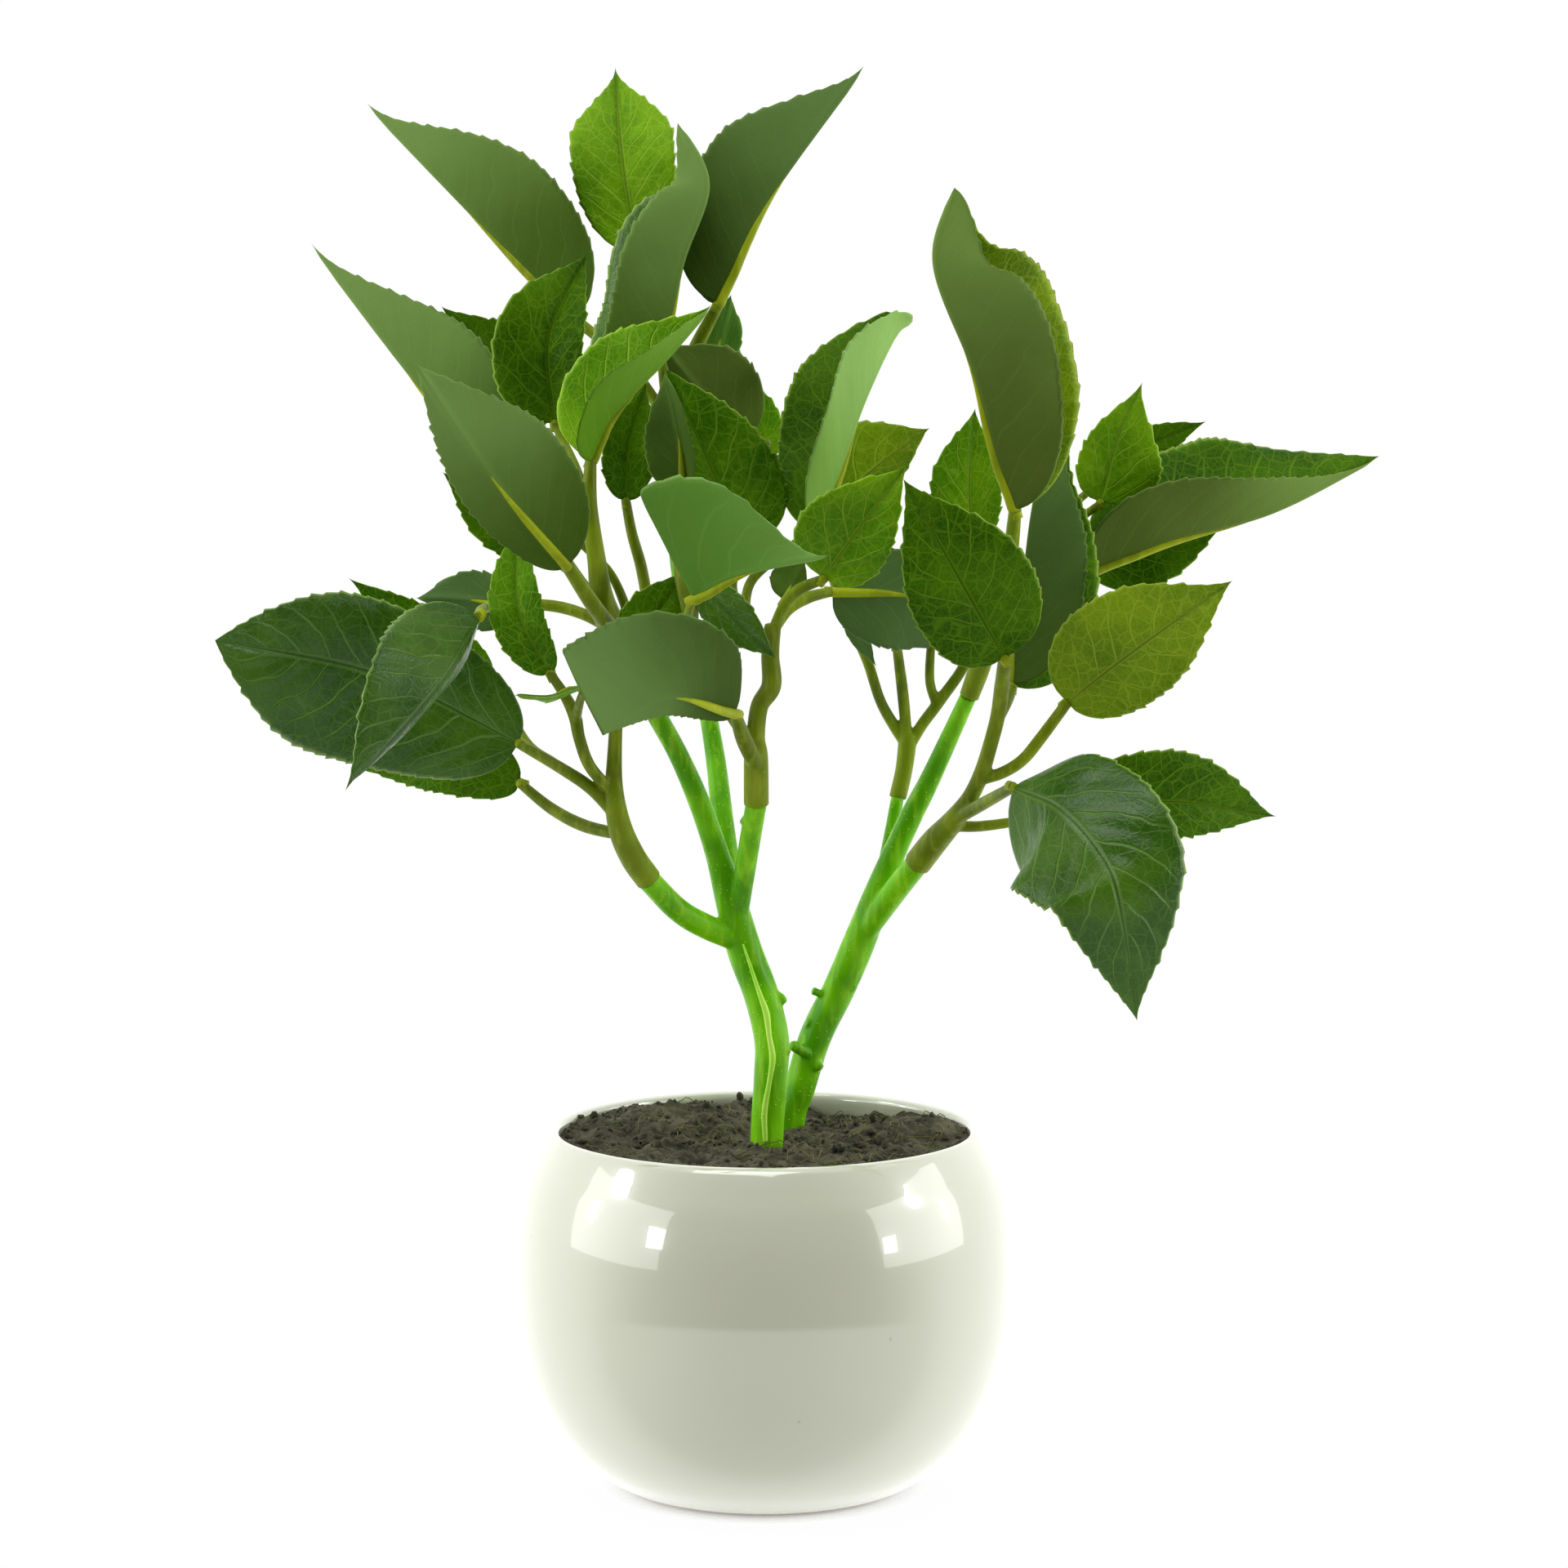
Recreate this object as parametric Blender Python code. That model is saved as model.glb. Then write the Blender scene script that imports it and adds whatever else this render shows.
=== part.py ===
"""Potted basil plant: a ball-shaped glazed pot, a plug of soil, two moulded plastic stems,
seven moulded twigs with leaf stalks, and the leaf blades clipped on them.

Metres, +Z up. The origin is the centre of the pot's flat foot. The front of the plant faces -Y.
"""

import math

import bmesh
import bpy
import numpy as np
from mathutils import Vector

MM = 0.001

# driving dimensions, in millimetres
POT_RADIUS = 50.0
POT_HEIGHT = 72.7
POT_MOUTH_RADIUS = 41.1
POT_WALL = 4.5
FOOT_RADIUS = 26.0
SOIL_LEVEL = 70.3
SOIL_DEPTH = 51.0
LEAF_THICKNESS = 0.7
TUBE_SIDES = 8
POT_SIDES = 56
CROWN_SPREAD = 1.7
CROWN_SETTLE = Vector((0.6, 0.0, -1.3))
FRONT = Vector((0.0, -1.0, 0.0))
VIEW_POINT = Vector((3.3, -1000.0, 260.0))

for old in list(bpy.data.objects):
    bpy.data.objects.remove(old, do_unlink=True)


def material(name, colour, roughness):
    made = bpy.data.materials.new(name)
    made.use_nodes = True
    shader = made.node_tree.nodes["Principled BSDF"]
    shader.inputs["Base Color"].default_value = (*colour, 1.0)
    shader.inputs["Roughness"].default_value = roughness
    shader.inputs["Metallic"].default_value = 0.0
    made.diffuse_color = (*colour, 1.0)
    return made


def add_object(name, points, faces, colour, roughness, smooth=True):
    mesh = bpy.data.meshes.new(name)
    mesh.from_pydata([tuple(float(c) * MM for c in p) for p in points], [], faces)
    mesh.validate()
    work = bmesh.new()
    work.from_mesh(mesh)
    bmesh.ops.recalc_face_normals(work, faces=work.faces)
    if work.calc_volume(signed=True) < 0:
        bmesh.ops.reverse_faces(work, faces=work.faces)
    work.to_mesh(mesh)
    work.free()
    mesh.shade_smooth() if smooth else mesh.shade_flat()
    obj = bpy.data.objects.new(name, mesh)
    bpy.context.scene.collection.objects.link(obj)
    mesh.materials.append(material(name + "_mat", colour, roughness))
    return obj


def helper(obj):
    obj.hide_render = True
    obj.display_type = "WIRE"


def combine(target, other, operation):
    step = target.modifiers.new(operation.lower() + "_" + other.name, "BOOLEAN")
    step.operation = operation
    step.solver = "EXACT"
    step.object = other
    helper(other)


# ---------------------------------------------------------------- turned parts


def lathe(name, profile, sides, colour, roughness):
    """A closed profile of (radius, height) pairs turned about Z; radius 0 gives a pole."""
    points = []
    rings = []
    for radius, height in profile:
        if radius < 1e-6:
            rings.append([len(points)] * sides)
            points.append((0.0, 0.0, height))
            continue
        rings.append(list(range(len(points), len(points) + sides)))
        for k in range(sides):
            a = 2 * math.pi * k / sides
            points.append((radius * math.cos(a), radius * math.sin(a), height))
    faces = []
    for low, high in zip(rings[:-1], rings[1:]):
        for k in range(sides):
            n = (k + 1) % sides
            corners = []
            for c in (low[k], low[n], high[n], high[k]):
                if c not in corners:
                    corners.append(c)
            if len(corners) > 2:
                faces.append(corners)
    return add_object(name, points, faces, colour, roughness)


POT_OUTSIDE = [
    (0.0, 0.0),
    (FOOT_RADIUS, 0.0),
    (30.5, 1.8),
    (36.8, 6.2),
    (42.0, 12.2),
    (46.2, 20.3),
    (49.0, 30.3),
    (POT_RADIUS, 40.5),
    (POT_RADIUS, 48.3),
    (49.3, 56.6),
    (47.6, 63.5),
    (45.6, 67.8),
    (43.9, 70.9),
]
POT_LIP = [(42.9, 72.4), (41.9, POT_HEIGHT), (POT_MOUTH_RADIUS, 72.1), (41.0, 70.9)]
POT_INSIDE = [
    (41.9, 67.2),
    (44.1, 62.0),
    (45.3, 55.7),
    (POT_RADIUS - POT_WALL, 46.9),
    (45.0, 37.1),
    (43.0, 27.4),
    (39.5, 19.1),
    (34.0, 11.5),
    (26.5, 6.1),
    (0.0, 5.2),
]
lathe("pot", POT_OUTSIDE + POT_LIP + POT_INSIDE, POT_SIDES, (0.86, 0.86, 0.80), 0.12)

SOIL_SIDE = [
    (0.0, SOIL_LEVEL - SOIL_DEPTH),
    (37.5, SOIL_LEVEL - SOIL_DEPTH),
    (42.2, 27.6),
    (44.4, 37.1),
    (45.0, 46.9),
    (44.7, 55.5),
    (43.4, 61.7),
    (41.3, 67.0),
    (40.2, 70.0),
    (37.0, 71.4),
    (28.0, 71.3),
    (17.0, 70.7),
    (8.0, 70.4),
    (0.0, SOIL_LEVEL),
]
soil = lathe("soil", SOIL_SIDE, 40, (0.045, 0.036, 0.028), 0.95)


# ---------------------------------------------------------------- stems and stalks


def spread(p):
    """Moves a point of the crown forwards or backwards by CROWN_SPREAD times its own depth.

    It slides on the line to a point one metre in front, so the front outline stays as laid out,
    and then by CROWN_SETTLE. The stems' feet stay where they are: both grow from the soil up.
    """
    p = Vector(p[:3])
    grow = min(max((p.z - 75.0) / 70.0, 0.0), 1.0)
    depth = p.y * (1 + (CROWN_SPREAD - 1) * grow)
    slid = VIEW_POINT + (p - VIEW_POINT) * ((depth - VIEW_POINT.y) / (p.y - VIEW_POINT.y))
    return slid + CROWN_SETTLE * grow


def smooth_path(spine, steps):
    """Catmull-Rom samples through the hand-placed points, `steps` per span."""
    pts = [spread(p) for p in spine]
    ext = [pts[0] * 2 - pts[1]] + pts + [pts[-1] * 2 - pts[-2]]
    found = []
    for i in range(1, len(ext) - 2):
        a, b, c, d = ext[i - 1], ext[i], ext[i + 1], ext[i + 2]
        last = i == len(ext) - 3
        for k in range(steps + (1 if last else 0)):
            s = k / steps
            found.append(
                0.5
                * (
                    2 * b
                    + (c - a) * s
                    + (2 * a - 5 * b + 4 * c - d) * s * s
                    + (3 * b - 3 * c + d - a) * s**3
                )
            )
    return found


def tube_mesh(spine, sides, steps=1):
    """Points and faces of a round rod through (x, y, z, radius) points, closed by flat ends."""
    path = smooth_path(spine, steps)
    given = [p[3] for p in spine]
    marks = np.arange(len(spine)) * steps
    radii = np.interp(np.arange(len(path)), marks, given)
    points = []
    side = None
    for i, p in enumerate(path):
        ahead = path[min(i + 1, len(path) - 1)] - path[max(i - 1, 0)]
        t = ahead.normalized()
        if side is None:
            side = t.cross(Vector((0.3, 1.0, 0.2))).normalized()
        side = (side - t * side.dot(t)).normalized()
        up = t.cross(side)
        for k in range(sides):
            a = 2 * math.pi * k / sides
            points.append(p + (side * math.cos(a) + up * math.sin(a)) * radii[i])
    faces = []
    for i in range(len(path) - 1):
        for k in range(sides):
            n = (k + 1) % sides
            faces.append((i * sides + k, i * sides + n, (i + 1) * sides + n, (i + 1) * sides + k))
    faces.append(tuple(range(sides))[::-1])
    last = (len(path) - 1) * sides
    faces.append(tuple(range(last, last + sides)))
    return points, faces


def rods(name, spines, colour, roughness, sides=TUBE_SIDES):
    """One moulded body: the first rod with the others joined on."""
    made = []
    for k, spine in enumerate(spines):
        points, faces = tube_mesh(spine, sides if k == 0 else 6)
        label = name if k == 0 else f"{name}_arm{k}"
        made.append(add_object(label, points, faces, colour, roughness))
    for other in made[1:]:
        combine(made[0], other, "UNION")
    return made[0]


GREEN = (0.11, 0.36, 0.004)
OLIVE = (0.23, 0.26, 0.010)

LEFT_FOOT = (0.5, -8.0)
RIGHT_FOOT = (5.0, 11.0)

STEM_LEFT = [
    [
        (*LEFT_FOOT, 56.0, 3.3),
        (*LEFT_FOOT, 72.0, 3.3),
        (1.2, -7.6, 85.0, 3.4),
        (1.3, -7.0, 92.0, 3.5),
        (-0.8, -6.0, 101.0, 3.5),
        (-4.2, -5.0, 110.0, 3.5),
        (-7.0, -5.0, 120.0, 3.1),
        (-9.9, -5.0, 130.0, 2.4),
        (-13.3, -5.5, 140.0, 2.2),
        (-17.6, -6.0, 150.0, 2.0),
        (-22.5, -6.5, 159.0, 2.0),
        (-27.0, -6.0, 167.0, 2.0),
    ],
    [
        (-6.6, -4.0, 119.0, 2.4),
        (-8.5, 0.0, 133.0, 2.3),
        (-10.4, 5.0, 148.0, 2.0),
        (-13.2, 9.0, 163.0, 1.7),
        (-17.2, 12.0, 180.0, 1.5),
        (-19.3, 14.0, 197.0, 1.4),
    ],
    [
        (-3.8, -5.0, 111.5, 2.4),
        (-12.0, -7.0, 115.3, 2.5),
        (-17.5, -9.0, 119.0, 2.4),
        (-22.8, -11.0, 124.8, 2.4),
    ],
    [
        (-6.4, -5.5, 120.0, 2.0),
        (-3.6, -8.0, 131.0, 2.1),
        (-2.1, -10.0, 139.7, 2.1),
    ],
]
STEM_RIGHT = [
    [
        (*RIGHT_FOOT, 56.0, 3.2),
        (*RIGHT_FOOT, 72.0, 3.2),
        (7.0, 10.6, 79.0, 3.2),
        (10.2, 10.0, 90.0, 3.3),
        (14.8, 9.0, 100.0, 3.3),
        (18.8, 8.0, 110.0, 3.3),
        (22.4, 7.0, 120.0, 2.9),
        (25.6, 7.0, 128.5, 2.4),
        (28.9, 7.0, 136.0, 2.3),
        (32.3, 6.8, 143.0, 2.1),
        (35.9, 6.0, 151.0, 1.9),
        (40.0, 4.0, 160.0, 1.7),
    ],
    [
        (20.8, 6.5, 114.5, 2.4),
        (26.0, 3.0, 121.5, 2.6),
        (29.8, 0.0, 126.8, 2.6),
    ],
    [
        (22.2, 8.0, 119.0, 1.4),
        (24.6, 11.0, 130.0, 1.5),
        (26.2, 12.5, 138.6, 1.4),
    ],
]
stem_left = rods("stem_left", STEM_LEFT, GREEN, 0.35, sides=10)
stem_right = rods("stem_right", STEM_RIGHT, GREEN, 0.35, sides=10)


def socket(name, foot, radius):
    points, faces = tube_mesh([(*foot, 55.6, radius), (*foot, 80.0, radius)], 10)
    combine(soil, add_object(name, points, faces, (0.1, 0.1, 0.1), 0.9), "DIFFERENCE")


socket("socket_left", LEFT_FOOT, 3.8)
socket("socket_right", RIGHT_FOOT, 3.8)

TWIGS = {
    "twig_left": [
        [
            (-23.1, -11.1, 125.2, 2.6),
            (-26.3, -12.0, 130.0, 2.6),
            (-28.8, -13.0, 136.0, 2.4),
            (-30.0, -13.0, 143.0, 1.9),
            (-30.0, -12.0, 150.0, 1.5),
            (-29.3, -12.0, 162.0, 1.2),
            (-28.2, -11.9, 170.2, 1.0),
        ],
        [
            (-29.2, -13.0, 138.0, 1.2),
            (-34.3, -13.0, 143.8, 1.3),
            (-40.0, -12.5, 147.7, 1.2),
            (-48.4, -9.3, 152.2, 1.0),
        ],
        [
            (-28.4, -12.5, 134.6, 1.2),
            (-36.0, -9.0, 136.0, 1.3),
            (-42.5, -6.0, 139.0, 1.2),
            (-48.5, -4.1, 143.6, 1.0),
        ],
        [
            (-29.6, -13.0, 142.5, 1.2),
            (-34.6, -14.0, 148.3, 1.2),
            (-36.7, -15.0, 154.0, 1.2),
            (-37.6, -15.0, 158.5, 1.3),
            (-39.5, -15.0, 162.5, 1.1),
            (-42.1, -14.2, 166.3, 0.9),
        ],
        [(-37.4, -15.0, 158.0, 1.0), (-36.6, -18.5, 161.3, 0.9), (-36.0, -20.6, 163.2, 0.8)],
        [
            (-36.4, -13.0, 145.4, 0.9),
            (-42.0, -8.0, 148.6, 0.9),
            (-48.0, -3.0, 152.6, 0.9),
            (-54.4, 1.6, 164.4, 0.8),
        ],
    ],
    "twig_center": [
        [
            (-2.1, -10.2, 140.4, 2.5),
            (-2.2, -11.0, 150.0, 2.4),
            (-2.3, -10.3, 154.0, 1.9),
            (-1.5, -10.0, 160.0, 1.8),
            (0.8, -10.0, 164.0, 2.0),
            (0.6, -10.0, 170.0, 1.8),
            (1.0, -10.5, 175.0, 1.7),
        ],
        [(-2.2, -11.5, 148.5, 1.6), (-4.6, -14.5, 154.0, 1.6), (-6.0, -17.3, 158.6, 1.2)],
        [
            (0.6, -10.2, 173.2, 1.1),
            (-2.6, -9.2, 174.8, 1.1),
            (-5.2, -6.5, 178.0, 1.1),
            (-6.9, -3.0, 183.5, 1.0),
            (-4.3, -0.5, 189.4, 0.9),
        ],
        [
            (-4.6, -7.0, 177.4, 1.0),
            (-3.3, -5.5, 184.0, 1.0),
            (2.0, -4.0, 189.0, 1.0),
            (8.5, -2.2, 193.4, 0.9),
        ],
        [
            (0.9, -10.4, 173.8, 1.2),
            (3.2, -11.6, 179.5, 1.2),
            (6.0, -12.8, 183.0, 1.2),
            (10.5, -13.8, 185.1, 1.0),
        ],
        [
            (1.0, -10.4, 174.6, 1.1),
            (4.0, -9.5, 178.9, 1.2),
            (8.0, -8.0, 181.2, 1.2),
            (12.3, -6.4, 182.2, 1.0),
        ],
        [
            (-2.3, -10.6, 151.0, 1.3),
            (-8.0, -11.5, 160.0, 1.3),
            (-13.0, -13.0, 169.0, 1.4),
            (-14.7, -14.5, 176.5, 1.4),
            (-16.8, -12.5, 186.0, 1.4),
            (-17.3, -8.5, 193.0, 1.3),
            (-16.2, -4.6, 200.4, 1.0),
        ],
        [(-14.6, -14.5, 174.5, 1.1), (-15.4, -18.5, 178.2, 1.0), (-14.7, -21.3, 181.0, 0.9)],
        [(-14.5, -13.8, 174.5, 1.0), (-14.2, -12.0, 180.0, 0.9), (-13.9, -13.2, 184.8, 0.8)],
    ],
    "twig_upper_left": [
        [
            (-27.2, -6.0, 167.4, 2.5),
            (-30.3, -6.5, 174.5, 2.9),
            (-32.5, -7.0, 181.0, 2.4),
            (-33.4, -8.0, 188.0, 1.9),
            (-34.8, -8.5, 199.0, 1.6),
            (-34.6, -8.1, 207.4, 1.2),
        ],
        [(-30.3, -7.5, 174.5, 1.7), (-34.0, -12.0, 180.0, 1.6), (-38.4, -15.6, 187.2, 1.3)],
        [
            (-31.0, -6.0, 176.5, 1.2),
            (-37.0, -1.5, 184.0, 1.2),
            (-43.0, 4.0, 192.0, 1.1),
            (-49.6, 7.7, 199.6, 1.0),
        ],
        [
            (-30.3, -6.5, 174.8, 1.3),
            (-36.0, -5.0, 177.6, 1.2),
            (-42.0, -4.0, 179.2, 1.2),
            (-49.0, -5.0, 179.6, 1.1),
            (-55.4, -9.0, 179.2, 1.0),
            (-56.4, -14.4, 178.4, 0.9),
        ],
        [(-38.0, -5.0, 178.3, 0.9), (-44.0, 0.0, 179.0, 0.9), (-49.5, 3.7, 178.3, 0.8)],
        [(-37.5, -1.2, 184.6, 0.9), (-43.6, -5.5, 189.6, 0.8)],
        [
            (-30.0, -5.5, 173.5, 1.3),
            (-26.6, -1.0, 175.5, 1.2),
            (-24.2, 2.5, 179.5, 1.2),
            (-25.0, 4.0, 186.0, 1.2),
            (-26.9, 4.0, 193.0, 1.1),
            (-28.0, 4.0, 199.0, 1.0),
        ],
        [
            (-27.3, -2.0, 175.2, 1.0),
            (-28.4, -2.5, 180.0, 1.0),
            (-31.3, -2.5, 186.0, 0.9),
            (-36.6, -3.4, 191.4, 0.8),
        ],
        [(-34.7, -8.0, 199.0, 1.0), (-38.0, -3.0, 207.0, 1.0), (-41.8, 1.6, 214.3, 0.8)],
        [(-37.4, -4.0, 205.6, 0.9), (-43.0, 10.0, 208.0, 0.9), (-46.8, 23.2, 211.5, 0.8)],
    ],
    "twig_top": [
        [(-19.35, 14.05, 197.5, 1.9), (-20.0, 15.0, 208.0, 1.9), (-20.0, 16.0, 217.5, 1.7)],
        [(-20.0, 15.5, 215.0, 1.2), (-15.0, 14.0, 228.0, 1.5), (-10.2, 12.1, 237.3, 1.2)],
        [(-20.0, 16.0, 216.0, 1.1), (-22.0, 20.0, 232.0, 1.1), (-26.2, 26.3, 246.9, 0.9)],
        [(-20.0, 16.0, 215.0, 1.2), (-28.0, 18.0, 226.0, 1.2), (-38.4, 19.8, 234.9, 1.1)],
        [(-20.0, 15.0, 208.0, 1.0), (-27.0, 11.0, 211.0, 1.1), (-33.6, 6.4, 215.3, 0.9)],
        [(-20.0, 15.5, 213.5, 0.9), (-15.0, 17.0, 219.5, 0.9), (-11.2, 18.0, 224.4, 0.8)],
        [(-20.0, 15.0, 204.0, 1.0), (-8.0, 13.0, 204.5, 1.0), (-0.5, 10.2, 210.3, 0.8)],
        [(-9.0, 13.2, 204.4, 0.9), (-5.5, 15.0, 203.5, 0.9), (-2.4, 16.0, 205.4, 0.8)],
    ],
    "twig_right": [
        [
            (30.05, -0.15, 127.2, 2.8),
            (33.3, -3.0, 132.0, 2.7),
            (37.0, -6.0, 136.8, 2.2),
            (40.0, -8.0, 141.5, 1.7),
            (42.2, -9.0, 146.5, 1.6),
            (43.8, -10.0, 152.0, 1.5),
            (45.3, -10.5, 158.0, 1.5),
            (46.0, -12.0, 164.0, 1.5),
            (46.3, -15.4, 169.8, 1.2),
        ],
        [(37.0, -6.2, 136.8, 1.3), (42.0, -11.5, 140.5, 1.3), (47.5, -19.3, 144.8, 1.1)],
        [
            (36.6, -5.6, 135.6, 1.2),
            (42.0, -5.2, 135.4, 1.1),
            (50.0, -4.6, 136.4, 1.0),
            (59.4, -4.0, 138.0, 0.9),
        ],
        [
            (41.6, -8.8, 145.2, 1.2),
            (46.4, -9.5, 146.8, 1.2),
            (50.4, -9.5, 149.4, 1.2),
            (54.0, -9.3, 153.8, 1.2),
            (58.6, -9.0, 160.0, 1.1),
        ],
        [(45.2, -10.6, 157.0, 1.1), (47.4, -8.0, 161.0, 1.1), (48.2, -6.3, 163.0, 1.0)],
    ],
    "twig_right_top": [
        [
            (40.15, 3.95, 160.4, 2.0),
            (42.7, 3.0, 168.0, 2.2),
            (45.0, 0.0, 178.0, 1.8),
            (47.5, -5.5, 187.5, 1.6),
            (48.5, -9.7, 197.9, 1.3),
        ],
        [
            (44.0, 1.5, 173.5, 1.1),
            (53.0, 9.0, 179.5, 1.1),
            (60.0, 10.5, 182.8, 1.0),
            (64.4, 8.4, 185.2, 0.9),
        ],
        [(53.0, 9.4, 179.6, 0.9), (58.0, 13.0, 182.6, 0.9), (63.5, 15.6, 185.7, 0.8)],
        [
            (44.6, 1.2, 175.5, 1.1),
            (52.0, 8.5, 184.0, 1.1),
            (60.0, 9.2, 193.5, 0.9),
            (66.0, 9.0, 198.4, 0.8),
        ],
        [
            (51.6, 8.2, 183.6, 0.9),
            (56.0, 14.0, 189.0, 0.9),
            (60.0, 20.0, 196.0, 0.9),
            (67.6, 22.0, 202.6, 0.8),
        ],
    ],
    "twig_back_right": [
        [(26.25, 12.55, 139.0, 1.8), (27.5, 13.0, 145.0, 1.8), (28.2, 13.0, 151.0, 1.9)],
        [
            (28.2, 13.0, 149.5, 1.2),
            (25.4, 13.0, 153.8, 1.2),
            (22.6, 12.0, 159.0, 1.1),
            (20.0, 11.0, 167.0, 1.1),
            (16.7, 10.5, 174.5, 1.1),
            (13.0, 10.5, 184.0, 1.0),
            (10.8, 9.8, 194.9, 0.8),
        ],
        [(28.2, 13.0, 149.5, 1.1), (27.2, 12.0, 160.0, 1.2), (25.9, 8.6, 170.0, 1.0)],
        [
            (28.2, 13.0, 149.0, 1.2),
            (31.0, 13.0, 153.8, 1.2),
            (34.8, 13.0, 159.0, 1.2),
            (40.0, 13.5, 167.0, 1.1),
            (41.6, 14.0, 177.0, 1.0),
            (41.1, 14.0, 189.4, 0.9),
        ],
        [(34.0, 13.0, 157.8, 1.0), (32.6, 13.2, 163.0, 1.0), (32.9, 12.2, 171.4, 0.9)],
    ],
}
for label, spines in TWIGS.items():
    rods(label, spines, OLIVE, 0.4)


# ---------------------------------------------------------------- leaf blades


def outline(u, widest, taper):
    """Share of the half width at u along the midrib; a large taper makes a drawn-out tip."""
    if u < widest:
        return max((1 - (1 - u / widest) ** 2.3) ** 0.45, 0.13)
    s = (u - widest) / (1 - widest)
    return max((1 - s * s) ** taper, 0.03)


def blade_frames(spine, stations):
    """Midrib point, direction, front-facing normal and side vector at each station."""
    fine = smooth_path(spine, 12)
    run = [0.0]
    for a, b in zip(fine[:-1], fine[1:]):
        run.append(run[-1] + (b - a).length)
    found = []
    for u in stations:
        want = u * run[-1]
        k = max(i for i, r in enumerate(run[:-1]) if r <= want + 1e-9)
        part = (want - run[k]) / (run[k + 1] - run[k])
        p = fine[k].lerp(fine[k + 1], part)
        t = (fine[min(k + 2, len(fine) - 1)] - fine[max(k - 1, 0)]).normalized()
        n = (FRONT - t * FRONT.dot(t)).normalized()
        found.append((p, t, n, t.cross(n)))
    return found


def leaf(name, spine, widths, leans, colour, widest=0.4, taper=1.5):
    """A thin closed blade folded along its midrib.

    widths: left and right half widths seen from the front with the tip up.
    leans: how far each half is turned about the midrib, + toward the front, - away from it;
    two more values are the leans at the base, when they differ there.
    """
    stations = (0.0, 0.1, 0.25, 0.45, 0.65, 0.84, 1.0)
    half = LEAF_THICKNESS / 2
    top = []
    low = []
    for u, (p, t, n, s) in zip(stations, blade_frames(spine, stations)):
        w = outline(u, widest, taper)
        ease = max(0.0, 1 - u / 0.45) ** 1.5
        left = math.radians(leans[0] + (leans[-2] - leans[0]) * ease)
        right = math.radians(leans[1] + (leans[-1] - leans[1]) * ease)
        dir_l = -s * math.cos(left) + n * math.sin(left)
        dir_r = s * math.cos(right) + n * math.sin(right)
        nor_l = n * math.cos(left) + s * math.sin(left)
        nor_r = n * math.cos(right) - s * math.sin(right)
        middle = (nor_l + nor_r).normalized()
        reach = half / max(middle.dot(nor_r), 0.3)
        row = [
            (p + dir_l * widths[0] * w, nor_l * half),
            (p + dir_l * widths[0] * w * 0.5, nor_l * half),
            (p, middle * reach),
            (p + dir_r * widths[1] * w * 0.5, nor_r * half),
            (p + dir_r * widths[1] * w, nor_r * half),
        ]
        top += [a + b for a, b in row]
        low += [a - b for a, b in row]
    count = len(top)
    rows = len(stations)
    faces = []
    for i in range(rows - 1):
        for j in range(4):
            a = i * 5 + j
            faces.append((a, a + 1, a + 6, a + 5))
            faces.append((count + a, count + a + 5, count + a + 6, count + a + 1))
    rim = [i * 5 for i in range(rows)] + [(rows - 1) * 5 + j for j in range(1, 5)]
    rim += [i * 5 + 4 for i in reversed(range(rows - 1))] + [j for j in (3, 2, 1)]
    for a, b in zip(rim, rim[1:] + rim[:1]):
        faces.append((a, b, count + b, count + a))
    return add_object(name, top + low, faces, colour, 0.5)


DARK = (0.030, 0.110, 0.008)
MID = (0.060, 0.170, 0.012)
LIME = (0.170, 0.380, 0.015)
GREY = (0.110, 0.190, 0.050)

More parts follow.
